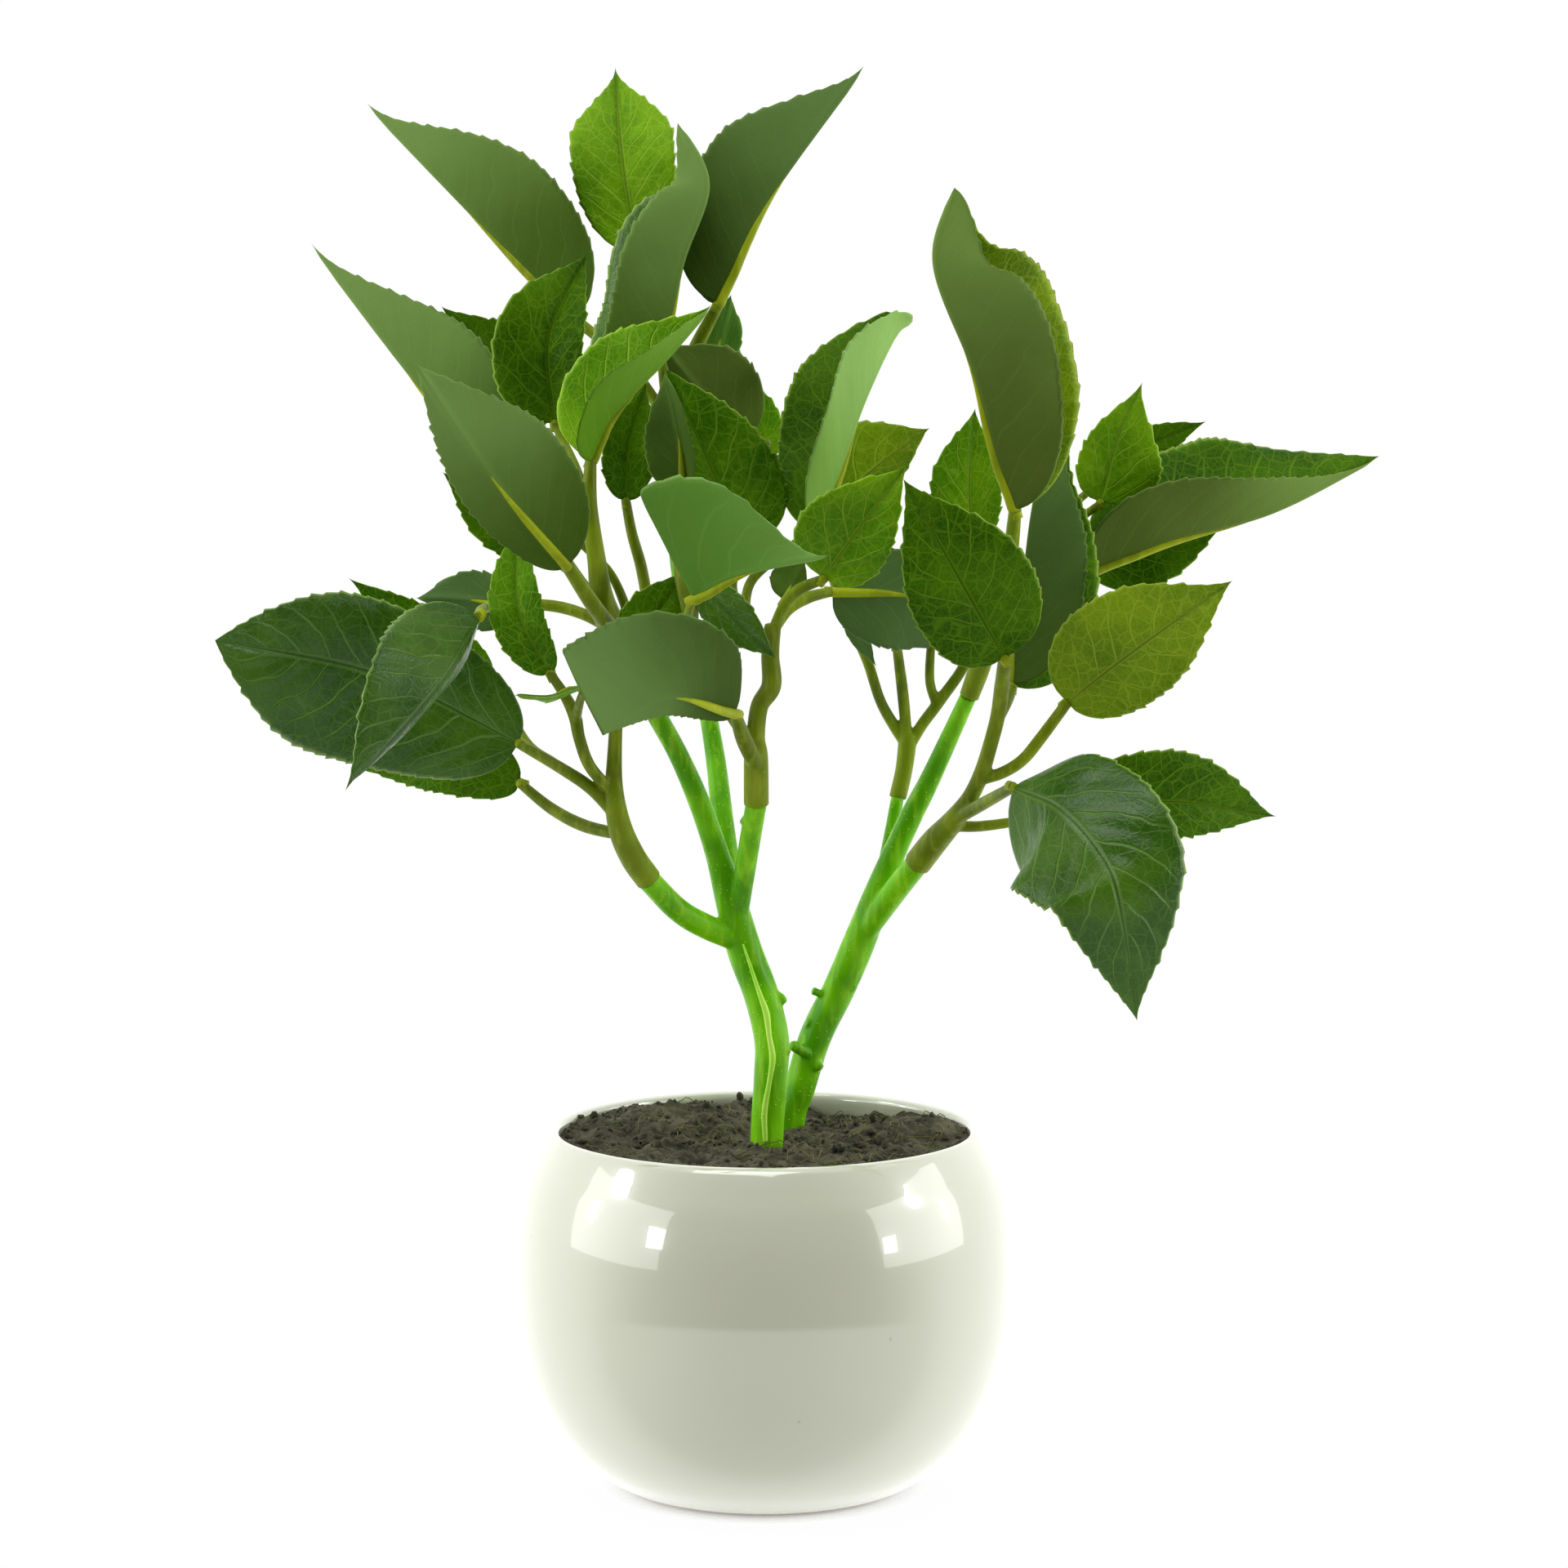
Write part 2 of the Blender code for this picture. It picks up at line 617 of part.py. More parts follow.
LEAVES = {
    # top of the plant
    "leaf_top_left": (
        [(-39.0, 20.0, 235.5), (-59.3, 25.0, 256.0), (-81.3, 34.0, 278.4)],
        (17, 17),
        (-145, -8),
        GREY,
        0.42,
        2.0,
    ),
    "leaf_top_mid": (
        [(-26.5, 27.0, 248.5), (-29.3, 30.0, 267.0), (-31.0, 38.0, 285.7)],
        (11, 11.5),
        (20, 20),
        LIME,
        0.5,
        2.0,
    ),
    "leaf_top_curl": (
        [
            (-31.0, 6.0, 215.0),
            (-21.0, 7.0, 231.0),
            (-16.8, 9.0, 247.0),
            (-12.0, 11.0, 262.0),
            (-17.8, 14.0, 274.0),
        ],
        (12.5, 17.5),
        (-4, -148),
        MID,
        0.45,
        1.0,
    ),
    "leaf_top_dark": (
        [(-42.0, 2.0, 215.0), (-43.0, 0.0, 232.0), (-35.5, 4.0, 248.5)],
        (11, 8),
        (15, 32),
        DARK,
    ),
    "leaf_top_right": (
        [(-10.0, 12.0, 238.0), (-0.5, 15.0, 258.0), (19.5, 26.0, 285.8)],
        (16, 15.5),
        (-10, -142),
        GREY,
        0.45,
        2.0,
    ),
    "leaf_top_bud": (
        [(-11.0, 18.0, 225.0), (-9.0, 18.0, 233.0), (-7.3, 18.0, 240.0)],
        (4.5, 4.5),
        (-10, -10),
        MID,
    ),
    # upper left
    "leaf_left_long": (
        [(-50.0, 8.0, 200.0), (-68.5, 12.0, 221.0), (-92.0, 24.0, 250.4)],
        (15, 15.5),
        (-145, -12),
        GREY,
        0.4,
        2.2,
    ),
    "leaf_left_tuck": (
        [(-47.0, 23.5, 212.0), (-54.0, 26.0, 226.0), (-66.0, 27.0, 237.5)],
        (7.5, 8),
        (20, 10),
        DARK,
    ),
    "leaf_left_broad": (
        [(-38.9, -16.0, 187.8), (-52.6, -26.0, 205.4), (-67.2, -38.0, 228.8)],
        (7.5, 14.5),
        (-15, -15),
        GREY,
    ),
    "leaf_left_dark": (
        [(-44.0, -6.0, 190.0), (-54.0, -8.0, 198.0), (-63.5, -10.0, 206.0)],
        (6, 6),
        (10, 10),
        DARK,
    ),
    "leaf_left_inner": (
        [(-37.0, -3.5, 192.0), (-38.5, -4.0, 197.0), (-38.0, -4.0, 202.5)],
        (4.5, 4),
        (-10, -10),
        MID,
    ),
    "leaf_mid_bright": (
        [(-34.5, -8.0, 208.0), (-30.5, -9.0, 217.0), (-20.0, -11.0, 228.0), (-10.8, -12.0, 238.6)],
        (11, 12.5),
        (58, -165),
        LIME,
    ),
    "leaf_mid_narrow": (
        [(-28.0, 4.0, 199.5), (-27.5, 5.0, 210.0), (-24.0, 6.0, 223.0)],
        (5.5, 5.5),
        (30, 15),
        DARK,
    ),
    "leaf_mid_fold": (
        [(-16.0, -4.0, 201.0), (-17.0, -5.5, 212.0), (-20.0, -5.0, 226.0)],
        (7.5, 5),
        (-8, 65),
        GREY,
    ),
    # heart of the plant
    "leaf_heart_dark": (
        [(-4.5, 0.0, 190.0), (-11.5, -1.0, 207.0), (-20.0, -2.0, 226.0)],
        (5, 13),
        (10, 10),
        DARK,
        0.32,
        1.2,
    ),
    "leaf_heart_grey": (
        [(-3.5, 10.0, 211.6), (-12.0, 9.0, 219.5), (-20.5, 8.0, 229.5)],
        (4, 11.5),
        (-10, -15),
        GREY,
        0.5,
        1.0,
    ),
    "leaf_heart_lime": (
        [(-2.0, 16.0, 206.0), (-2.0, 17.0, 215.0), (-4.0, 18.0, 224.0)],
        (5, 5),
        (0, 0),
        LIME,
    ),
    "leaf_heart_low": (
        [(-12.8, -14.0, 184.0), (-6.0, -15.5, 177.0), (1.8, -17.0, 170.0)],
        (4.5, 4.5),
        (10, 10),
        DARK,
    ),
    "leaf_behind_low": (
        [(-28.0, -11.7, 171.0), (-21.0, -11.5, 179.0), (-15.5, -10.0, 187.0)],
        (6, 5.5),
        (5, 5),
        DARK,
    ),
    "leaf_front_pale": (
        [(-14.2, -22.0, 182.0), (-4.0, -24.5, 187.4), (12.2, -27.0, 191.0)],
        (23.5, 8),
        (0, -115),
        MID,
        0.15,
        2.4,
    ),
    "leaf_front_low": (
        [(-6.2, -18.0, 159.3), (-19.1, -32.0, 163.7), (-31.1, -45.0, 157.9)],
        (3.5, 17.5),
        (-5, -5),
        GREY,
        0.7,
        0.4,
    ),
    "leaf_tall_hook": (
        [
            (9.0, -2.0, 194.0),
            (14.0, 0.0, 205.5),
            (18.8, 4.0, 219.0),
            (25.2, 9.0, 232.2),
            (29.0, 12.0, 234.8),
        ],
        (14, 15),
        (57, -165),
        DARK,
        0.55,
        1.1,
    ),
    "leaf_center_lime": (
        [(11.0, -14.0, 185.5), (18.8, -16.0, 196.5), (27.2, -18.0, 207.8)],
        (11, 8),
        (15, 15),
        LIME,
        0.32,
        1.5,
    ),
    "leaf_center_small": (
        [(3.0, -6.4, 180.8), (5.0, -5.0, 184.0), (7.5, -4.0, 188.5)],
        (4.5, 3),
        (0, 0),
        GREY,
    ),
    # right side
    "leaf_back_olive": (
        [(11.0, 10.0, 196.0), (22.0, 12.0, 206.0), (32.5, 14.0, 213.5)],
        (12, 7),
        (-5, -15),
        MID,
    ),
    "leaf_back_lit": (
        [(41.0, 14.0, 190.0), (40.5, 15.0, 204.0), (41.6, 16.0, 217.4)],
        (8, 6.5),
        (5, 5),
        LIME,
    ),
    "leaf_right_under": (
        [(12.8, -6.2, 182.2), (29.0, -5.0, 181.0), (47.0, -3.0, 173.5)],
        (9, 11),
        (-8, -8),
        GREY,
    ),
    "leaf_right_inner": (
        [(25.8, 8.2, 170.6), (28.5, 8.0, 180.0), (32.0, 9.0, 189.0)],
        (6, 6),
        (10, 10),
        DARK,
    ),
    "leaf_right_hidden": (
        [(33.0, 12.0, 172.0), (35.0, 14.0, 182.0), (36.0, 15.0, 194.0)],
        (3.5, 3),
        (10, 10),
        DARK,
    ),
    "leaf_right_strip": (
        [(15.4, 7.6, 178.8), (18.5, 6.0, 172.0), (21.8, 5.0, 166.3)],
        (2.2, 2.2),
        (10, 10),
        GREY,
    ),
    "leaf_right_broad": (
        [(46.3, -16.0, 170.0), (37.2, -21.0, 186.0), (26.3, -22.0, 205.4)],
        (11.5, 13.5),
        (12, 12),
        DARK,
    ),
    "leaf_right_tall": (
        [
            (48.6, -10.0, 198.4),
            (44.7, -10.0, 210.5),
            (40.4, -11.0, 226.0),
            (31.6, -17.0, 246.5),
            (35.6, -22.0, 261.2),
        ],
        (20.5, 17.5),
        (-172, 20),
        GREY,
        0.5,
        1.1,
    ),
    "leaf_right_fold": (
        [(48.3, -6.0, 163.5), (51.0, 0.0, 184.0), (54.0, 2.0, 203.0), (60.5, 3.0, 216.0)],
        (15.5, 14),
        (-170, 30),
        DARK,
    ),
    "leaf_right_yellow": (
        [(66.4, 9.0, 199.0), (69.5, 8.0, 211.0), (74.5, 7.0, 223.0)],
        (6.5, 10.5),
        (5, 5),
        LIME,
        0.3,
        1.8,
    ),
    "leaf_right_sliver": (
        [(68.0, 22.0, 203.0), (78.0, 22.0, 210.0), (88.5, 22.0, 214.5)],
        (4, 4),
        (0, 0),
        DARK,
    ),
    "leaf_far_long": (
        [(65.0, 8.0, 185.5), (80.0, 8.0, 191.5), (101.0, 12.0, 197.0), (123.5, 22.0, 207.5)],
        (13.5, 21.5),
        (30, -146),
        DARK,
        0.42,
        1.3,
    ),
    "leaf_far_dark": (
        [(64.0, 16.0, 186.0), (78.0, 16.0, 189.5), (93.0, 16.0, 195.5)],
        (4, 7.5),
        (0, 10),
        DARK,
    ),
    "leaf_far_yellow": (
        [(59.0, -9.0, 160.6), (72.0, -15.0, 171.5), (90.0, -24.0, 185.8)],
        (13.5, 10),
        (12, 12),
        LIME,
    ),
    "leaf_droop_front": (
        [
            (48.0, -20.0, 145.0),
            (56.8, -28.0, 141.6),
            (64.8, -35.0, 132.6),
            (68.0, -39.0, 123.6),
            (71.5, -40.0, 101.5),
        ],
        (15.5, 15.5),
        (-8, -5, -50, -5),
        DARK,
    ),
    "leaf_droop_rear": (
        [(60.0, -4.0, 138.0), (80.0, -2.0, 140.0), (102.0, 6.0, 136.0)],
        (10.5, 7.5),
        (8, 8),
        MID,
    ),
    # lower left
    "leaf_left_big": (
        [(-48.9, -9.2, 152.6), (-76.8, -11.5, 166.6), (-106.8, -24.0, 174.2)],
        (18.5, 14),
        (5, 3),
        DARK,
        0.55,
        1.0,
    ),
    "leaf_left_over": (
        [(-56.2, -15.0, 177.9), (-63.0, -25.0, 166.0), (-81.0, -36.0, 146.2)],
        (4.5, 14.5),
        (-75, 8),
        GREY,
    ),
    "leaf_left_low": (
        [(-49.0, -4.0, 144.0), (-66.0, -1.0, 148.5), (-88.0, 6.0, 148.5)],
        (6.5, 8),
        (5, 5),
        DARK,
    ),
    "leaf_left_sliver": (
        [(-55.0, 2.0, 165.0), (-68.0, 2.0, 174.0), (-83.0, 0.0, 184.5)],
        (6, 4.5),
        (-5, -5),
        MID,
    ),
    "leaf_left_thin": (
        [(-36.6, -22.0, 164.4), (-42.0, -24.0, 163.0), (-49.0, -26.0, 163.5)],
        (5, 5),
        (-80, 75),
        MID,
    ),
    "leaf_left_rear": (
        [(-50.0, 4.0, 178.2), (-61.0, 5.0, 180.0), (-70.0, 6.0, 180.0)],
        (6, 6),
        (-8, -8),
        GREY,
    ),
    "leaf_hang_small": (
        [(-42.4, -14.0, 166.8), (-48.4, -13.0, 178.5), (-49.3, -9.5, 194.5)],
        (5.8, 4.8),
        (5, 20),
        MID,
        0.45,
        1.0,
    ),
}
for label, (spine, widths, leans, colour, *shape) in LEAVES.items():
    leaf(label, spine, widths, leans, colour, *shape)
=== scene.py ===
"""Looks of the potted basil plant: a glazed pot, loose soil, moulded stems and twigs, printed leaves.

Points and sizes are in millimetres and become metres only as they enter a mesh. +Z is up and the
front of the plant faces -Y.
"""

import bmesh
import bpy
import numpy as np
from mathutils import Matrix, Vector


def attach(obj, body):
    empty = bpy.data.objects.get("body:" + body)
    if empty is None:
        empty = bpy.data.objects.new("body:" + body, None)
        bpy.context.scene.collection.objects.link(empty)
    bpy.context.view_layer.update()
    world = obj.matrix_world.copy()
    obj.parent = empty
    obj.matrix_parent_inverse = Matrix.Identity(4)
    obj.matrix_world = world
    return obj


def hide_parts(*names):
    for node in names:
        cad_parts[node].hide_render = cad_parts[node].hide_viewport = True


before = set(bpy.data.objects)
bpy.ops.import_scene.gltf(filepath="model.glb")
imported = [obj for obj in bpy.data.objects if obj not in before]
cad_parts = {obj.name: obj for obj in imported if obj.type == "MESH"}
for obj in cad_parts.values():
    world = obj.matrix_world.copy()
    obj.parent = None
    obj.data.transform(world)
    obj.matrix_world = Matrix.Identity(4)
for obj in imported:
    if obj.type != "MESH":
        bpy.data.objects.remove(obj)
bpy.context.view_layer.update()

# ---------------------------------------------------------------- the pot
# A ball-shaped pot of fired clay with an even wall and a rolled lip, dipped in thick white glaze.
# Its foot ring is wiped clean before firing. It stands on that ring and carries everything else.

MM = 0.001
POT_SIDES = 144
WALL_STEPS = 190
FOOT_LINE = [(0.0, 1.0), (19.5, 1.0), (20.8, 0.6), (21.6, 0.1), (22.4, 0.0), (25.2, 0.0)]
WALL_LINE = [
    (25.8, 0.1),
    (30.5, 1.8),
    (36.8, 6.2),
    (42.0, 12.2),
    (46.2, 20.3),
    (49.0, 30.3),
    (50.0, 40.5),
    (50.0, 48.3),
    (49.3, 56.6),
    (47.6, 63.5),
    (45.6, 67.8),
    (43.9, 70.9),
    (42.9, 72.4),
    (41.9, 72.7),
    (41.1, 72.1),
    (41.0, 70.9),
    (41.9, 67.2),
    (44.1, 62.0),
    (45.3, 55.7),
    (45.5, 46.9),
    (45.0, 37.1),
    (43.0, 27.4),
    (39.5, 19.1),
    (34.0, 11.5),
    (26.5, 6.1),
    (0.0, 5.2),
]


def smooth_line(points, count):
    """A Catmull-Rom curve through the points, read at `count` even steps of its length.

    Each span is the usual cubic in the four nearest points; further columns, such as a radius,
    are carried along with the place.
    """
    given = np.asarray(points, float)
    whole = np.vstack([2 * given[0] - given[1], given, 2 * given[-1] - given[-2]])
    a, b, c, d = (whole[k : len(whole) - 3 + k, None] for k in range(4))
    parts = 24
    s = (np.arange(parts) / parts)[None, :, None]
    square, cube = 2 * a - 5 * b + 4 * c - d, 3 * b - 3 * c + d - a
    fine = 0.5 * (2 * b + (c - a) * s + square * s**2 + cube * s**3)
    fine = np.vstack([fine.reshape(-1, given.shape[1]), given[-1:]])
    steps = np.linalg.norm(np.diff(fine[:, :3], axis=0), axis=1)
    run = np.concatenate([[0.0], np.cumsum(steps)])
    want = np.linspace(0.0, run[-1], count)
    return np.stack([np.interp(want, run, column) for column in fine.T], axis=1)


def grid_quads(rows, columns):
    """Corner numbers of the quads between rows of points; the last column joins the first."""
    row = np.arange(rows - 1)[:, None] * columns
    here = np.arange(columns)[None, :]
    after = (here + 1) % columns
    corners = [row + here, row + after, row + columns + after, row + columns + here]
    return np.stack(corners, -1).reshape(-1, 4)


def revolved(profile, sides):
    """A grid of points: each (radius, height) of the profile carried round the upright axis."""
    turn = np.linspace(0, 2 * np.pi, sides, endpoint=False)
    radius, height = profile[:, :1], np.repeat(profile[:, 1:], sides, axis=1)
    return np.stack([radius * np.cos(turn), radius * np.sin(turn), height], axis=-1)


def make_piece(name, points, quads, skins, stands_for=(), skin_of=None, chart=None):
    """One smooth object from points in millimetres and quads; collapsed rows close into poles.

    skin_of gives each quad's material by number and chart gives each point's place on the UV map.
    The piece rides on the root body and stands for the CAD nodes named.
    """
    mesh = bpy.data.meshes.new(name)
    mesh.from_pydata((np.asarray(points) * MM).tolist(), [], quads.tolist())
    for skin in skins:
        mesh.materials.append(skin)
    if skin_of is not None:
        mesh.polygons.foreach_set("material_index", np.asarray(skin_of, np.int32))
    if chart is not None:
        layer = mesh.uv_layers.new(name="UVMap")
        layer.data.foreach_set("uv", chart[quads.reshape(-1)].astype(np.float32).reshape(-1))
    work = bmesh.new()
    work.from_mesh(mesh)
    bmesh.ops.remove_doubles(work, verts=work.verts, dist=1e-7)
    bmesh.ops.dissolve_degenerate(work, edges=work.edges, dist=1e-8)
    work.to_mesh(mesh)
    work.free()
    mesh.shade_smooth()
    obj = bpy.data.objects.new(name, mesh)
    bpy.context.scene.collection.objects.link(obj)
    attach(obj, "root")
    if stands_for:
        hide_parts(*stands_for)
    return obj


def paint(code):
    """A colour written as six hexadecimal digits, as the linear values a shader takes."""
    shades = np.array([int(code[k : k + 2], 16) for k in (0, 2, 4)]) / 255
    linear = np.where(shades > 0.04045, ((shades + 0.055) / 1.055) ** 2.4, shades / 12.92)
    return (*linear.tolist(), 1.0)


def node(tree, kind, inputs, output=0, **settings):
    """Adds a node, sets or links its inputs, and returns one of its outputs."""
    made = tree.nodes.new("ShaderNode" + kind)
    for key, value in settings.items():
        setattr(made, key, value)
    for socket, value in inputs.items():
        if isinstance(value, bpy.types.NodeSocket):
            tree.links.new(value, made.inputs[socket])
        else:
            made.inputs[socket].default_value = value
    return made.outputs[output]


def sums(tree, kind, a, b=0.0, c=0.0):
    """One step of arithmetic between sockets or numbers."""
    return node(tree, "Math", {0: a, 1: b, 2: c}, operation=kind)


def ease(tree, value, low, high, start=0.0, end=1.0):
    """Start below low, end above high, and a smooth step between them."""
    inputs = {"Value": value, "From Min": low, "From Max": high, "To Min": start, "To Max": end}
    return node(tree, "MapRange", inputs, interpolation_type="SMOOTHSTEP")


def blend_of(tree, share, first, second, kind="MIX"):
    """Second laid over first by the share."""
    inputs = {"Factor": share, 6: first, 7: second}
    return node(tree, "Mix", inputs, 2, data_type="RGBA", blend_type=kind, clamp_factor=True)


def new_skin(name, **uniform):
    """A material with its shader's uniform values set; returns it with its tree and shader."""
    skin = bpy.data.materials.new(name)
    skin.use_nodes = True
    shader = skin.node_tree.nodes["Principled BSDF"]
    for key, value in uniform.items():
        shader.inputs[key.replace("_", " ")].default_value = value
    return skin, skin.node_tree, shader


def dress(tree, shader, colour, roughness, height, depth):
    """Links the colour, the roughness and a bump of the given depth in millimetres."""
    tree.links.new(colour, shader.inputs["Base Color"])
    tree.links.new(roughness, shader.inputs["Roughness"])
    bump = node(tree, "Bump", {"Height": height, "Distance": depth * MM, "Strength": 1.0})
    tree.links.new(bump, shader.inputs["Normal"])


glaze, tree, shader = new_skin("white_glaze", Coat_Weight=1.0, Coat_Roughness=0.035, Coat_IOR=1.8)
place = node(tree, "TexCoord", {}, "Object")
cloud = node(tree, "TexNoise", {"Vector": place, "Scale": 28.0, "Detail": 3.0})
speck = node(tree, "TexVoronoi", {"Vector": place, "Scale": 95.0})
pinhole = ease(tree, speck, 0.022, 0.04, 0.55, 0.0)
tone = blend_of(tree, cloud, paint("c7cab4"), paint("ced1bd"))
tone = blend_of(tree, pinhole, tone, paint("a9a794"))
height = node(tree, "SeparateXYZ", {"Vector": place}, "Z")
wiped = ease(tree, height, 0.0003, 0.0010, 1.0, 0.0)
tone = blend_of(tree, wiped, tone, paint("b89f84"))
gloss = sums(tree, "MULTIPLY_ADD", wiped, 0.6, 0.2)
orange_peel = node(tree, "TexNoise", {"Vector": place, "Scale": 130.0, "Detail": 1.0})
dress(tree, shader, tone, gloss, sums(tree, "SUBTRACT", orange_peel, pinhole), 0.03)

profile = np.vstack([FOOT_LINE, smooth_line(WALL_LINE, WALL_STEPS)])
profile[:, 1] = np.maximum(profile[:, 1], 0.0)
shell = revolved(profile, POT_SIDES).reshape(-1, 3)
make_piece("glazed_pot", shell, grid_quads(len(profile), POT_SIDES), [glaze], ["pot"])

# ---------------------------------------------------------------- the soil
# A plug of dark potting mix, heaped unevenly: low at the back, where the pot's inner wall shows,
# and in clods at the right and the left. Loose crumbs and dry fibres lie on it.

SOIL_SIDE = [
    # radius, height
    (0.0, 20.0),
    (37.0, 20.0),
    (42.0, 27.8),
    (44.2, 37.3),
    (44.7, 46.9),
    (44.3, 55.3),
    (43.0, 61.6),
]
SOIL_EDGE = 40.9
SOIL_LEVEL = 70.6
SOIL_SIDES = 300
SOIL_RINGS = 96
SOIL_HEAPS = [
    # x, y, rise, width
    (-17.0, 17.0, 3.4, 11.0),
    (-30.0, 10.0, 1.8, 8.0),
    (31.0, 5.0, 3.4, 8.0),
    (20.0, -6.0, 1.2, 11.0),
    (-4.0, -24.0, 0.8, 14.0),
    (14.0, 32.0, -3.0, 12.0),
    (0.0, 2.0, -0.8, 7.0),
]
chance = np.random.default_rng(11)


def ripples(x, y, size, seed, count=16):
    """Uneven relief from -1 to 1: cosine waves about `size` long, in random directions, added."""
    wave = np.random.default_rng(seed)
    heading = wave.uniform(0, 2 * np.pi, count)
    pitch = 2 * np.pi / (size * wave.uniform(0.7, 1.5, count))
    phase = wave.uniform(0, 2 * np.pi, count)
    along = x[..., None] * (pitch * np.cos(heading)) + y[..., None] * (pitch * np.sin(heading))
    return np.cos(along + phase).sum(-1) / np.sqrt(count)


def soil_height(x, y):
    """Height of the soil: its level, plus bell-shaped heaps, plus ripples of three sizes."""
    level = np.full(x.shape, SOIL_LEVEL)
    for heap_x, heap_y, rise, width in SOIL_HEAPS:
        level += rise * np.exp(-((x - heap_x) ** 2 + (y - heap_y) ** 2) / width**2)
    level = level + 0.55 * ripples(x, y, 9.0, 1) + 0.38 * ripples(x, y, 3.4, 2)
    return level + 0.2 * ripples(x, y, 1.5, 3)


def swept(paths, radii, sides, aside):
    """Round rods along many paths at once, closed at both ends.

    Each ring is the path's point plus the radius times a turning pair of vectors square to the
    path: the first is path direction cross `aside`, the second is square to both.
    """
    ahead = np.gradient(paths, axis=1)
    ahead /= np.linalg.norm(ahead, axis=2, keepdims=True)
    across = np.cross(ahead, np.asarray(aside, float))
    across /= np.linalg.norm(across, axis=2, keepdims=True)
    over = np.cross(ahead, across)
    capped = [np.concatenate([v[:, :1], v, v[:, -1:]], axis=1) for v in (paths, across, over)]
    paths, across, over = (v[:, :, None] for v in capped)
    reach = np.pad(radii, ((0, 0), (1, 1)))[..., None, None]
    angle = np.linspace(0, 2 * np.pi, sides, endpoint=False)[:, None]
    rings = paths + reach * (across * np.cos(angle) + over * np.sin(angle))
    rods, stations = reach.shape[:2]
    start = (np.arange(rods) * stations * sides)[:, None, None]
    quads = (start + grid_quads(stations, sides)[None]).reshape(-1, 4)
    return rings.reshape(-1, 3), quads


potting_mix, tree, shader = new_skin("potting_mix", Specular_IOR_Level=0.25)
place = node(tree, "TexCoord", {}, "Object")
clods = node(tree, "TexNoise", {"Vector": place, "Scale": 160.0, "Detail": 6.0, "Roughness": 0.7})
grit = node(tree, "TexVoronoi", {"Vector": place, "Scale": 620.0})
tone = blend_of(tree, ease(tree, clods, 0.35, 0.68), paint("2e2c20"), paint("625e4a"))
tone = blend_of(tree, ease(tree, grit, 0.0, 0.16, 0.5, 0.0), tone, paint("77725a"))
mixed = sums(tree, "MULTIPLY_ADD", grit, 0.4, clods)
dress(tree, shader, tone, sums(tree, "MULTIPLY_ADD", clods, 0.2, 0.8), mixed, 0.9)

top = revolved(np.stack([np.linspace(SOIL_EDGE, 0.0, SOIL_RINGS)] * 2, axis=1), SOIL_SIDES)
top[..., 2] = soil_height(top[..., 0], top[..., 1])
top[-1] = top[-1].mean(axis=0)
rings = np.concatenate([revolved(np.array(SOIL_SIDE), SOIL_SIDES), top])
quads = grid_quads(len(rings), SOIL_SIDES)
make_piece("soil_plug", rings.reshape(-1, 3), quads, [potting_mix], ["soil"])

# Crumbs: dented balls of a few facets, most of them small, resting a little above the soil.
CRUMBS = 950
BALL_RINGS, BALL_SIDES = 6, 7
spread_out = SOIL_EDGE * np.sqrt(chance.uniform(0.02, 0.99, CRUMBS))
angle = chance.uniform(0, 2 * np.pi, CRUMBS)
crumb_x, crumb_y = spread_out * np.cos(angle), spread_out * np.sin(angle)
crumb_size = 0.22 + 0.75 * chance.uniform(0, 1, CRUMBS) ** 4
crumb_z = soil_height(crumb_x, crumb_y) + 0.3 * crumb_size
rise = np.linspace(-np.pi / 2, np.pi / 2, BALL_RINGS)
ball = revolved(np.stack([np.cos(rise), np.sin(rise)], axis=1), BALL_SIDES)
dents = chance.uniform(0.7, 1.3, (CRUMBS, BALL_RINGS, BALL_SIDES, 1))
dents[:, [0, -1]] = 1.0
stretch = chance.uniform(0.65, 1.2, (CRUMBS, 1, 1, 3)) * crumb_size[:, None, None, None]
centres = np.stack([crumb_x, crumb_y, crumb_z], -1)[:, None, None]
crumbs = (centres + ball[None] * dents * stretch).reshape(-1, 3)
start = (np.arange(CRUMBS) * BALL_RINGS * BALL_SIDES)[:, None, None]
quads = (start + grid_quads(BALL_RINGS, BALL_SIDES)[None]).reshape(-1, 4)
make_piece("soil_crumbs", crumbs, quads, [potting_mix])

dry_fibre, tree, shader = new_skin("dry_fibre", Specular_IOR_Level=0.3)
place = node(tree, "TexCoord", {}, "Object")
mottle = node(tree, "TexNoise", {"Vector": place, "Scale": 90.0, "Detail": 2.0})
tone = blend_of(tree, ease(tree, mottle, 0.4, 0.6), paint("3a4a0c"), paint("6e6a34"))
dress(tree, shader, tone, sums(tree, "MULTIPLY_ADD", mottle, 0.2, 0.6), mottle, 0.05)

# Fibres: thin rods that bend one way along the soil and lift off it in the middle.
FIBRES = 90
FIBRE_REACH = 38.5
FIBRE_RADIUS = 0.1
FIBRE_POINTS = 9
spread_out = FIBRE_REACH * np.sqrt(chance.uniform(0.03, 1.0, FIBRES))[:, None]
angle = chance.uniform(0, 2 * np.pi, FIBRES)[:, None]
heading = chance.uniform(0, 2 * np.pi, FIBRES)[:, None]
bend = chance.uniform(-1.2, 1.2, FIBRES)[:, None]
fibre_length = chance.uniform(2.5, 9.0, FIBRES)[:, None]
step = np.linspace(0, 1, FIBRE_POINTS)[None]
fibre_x = spread_out * np.cos(angle) + fibre_length * step * np.cos(heading + bend * step)
fibre_y = spread_out * np.sin(angle) + fibre_length * step * np.sin(heading + bend * step)
pull = np.minimum(1.0, (SOIL_EDGE - 0.9) / np.hypot(fibre_x, fibre_y))
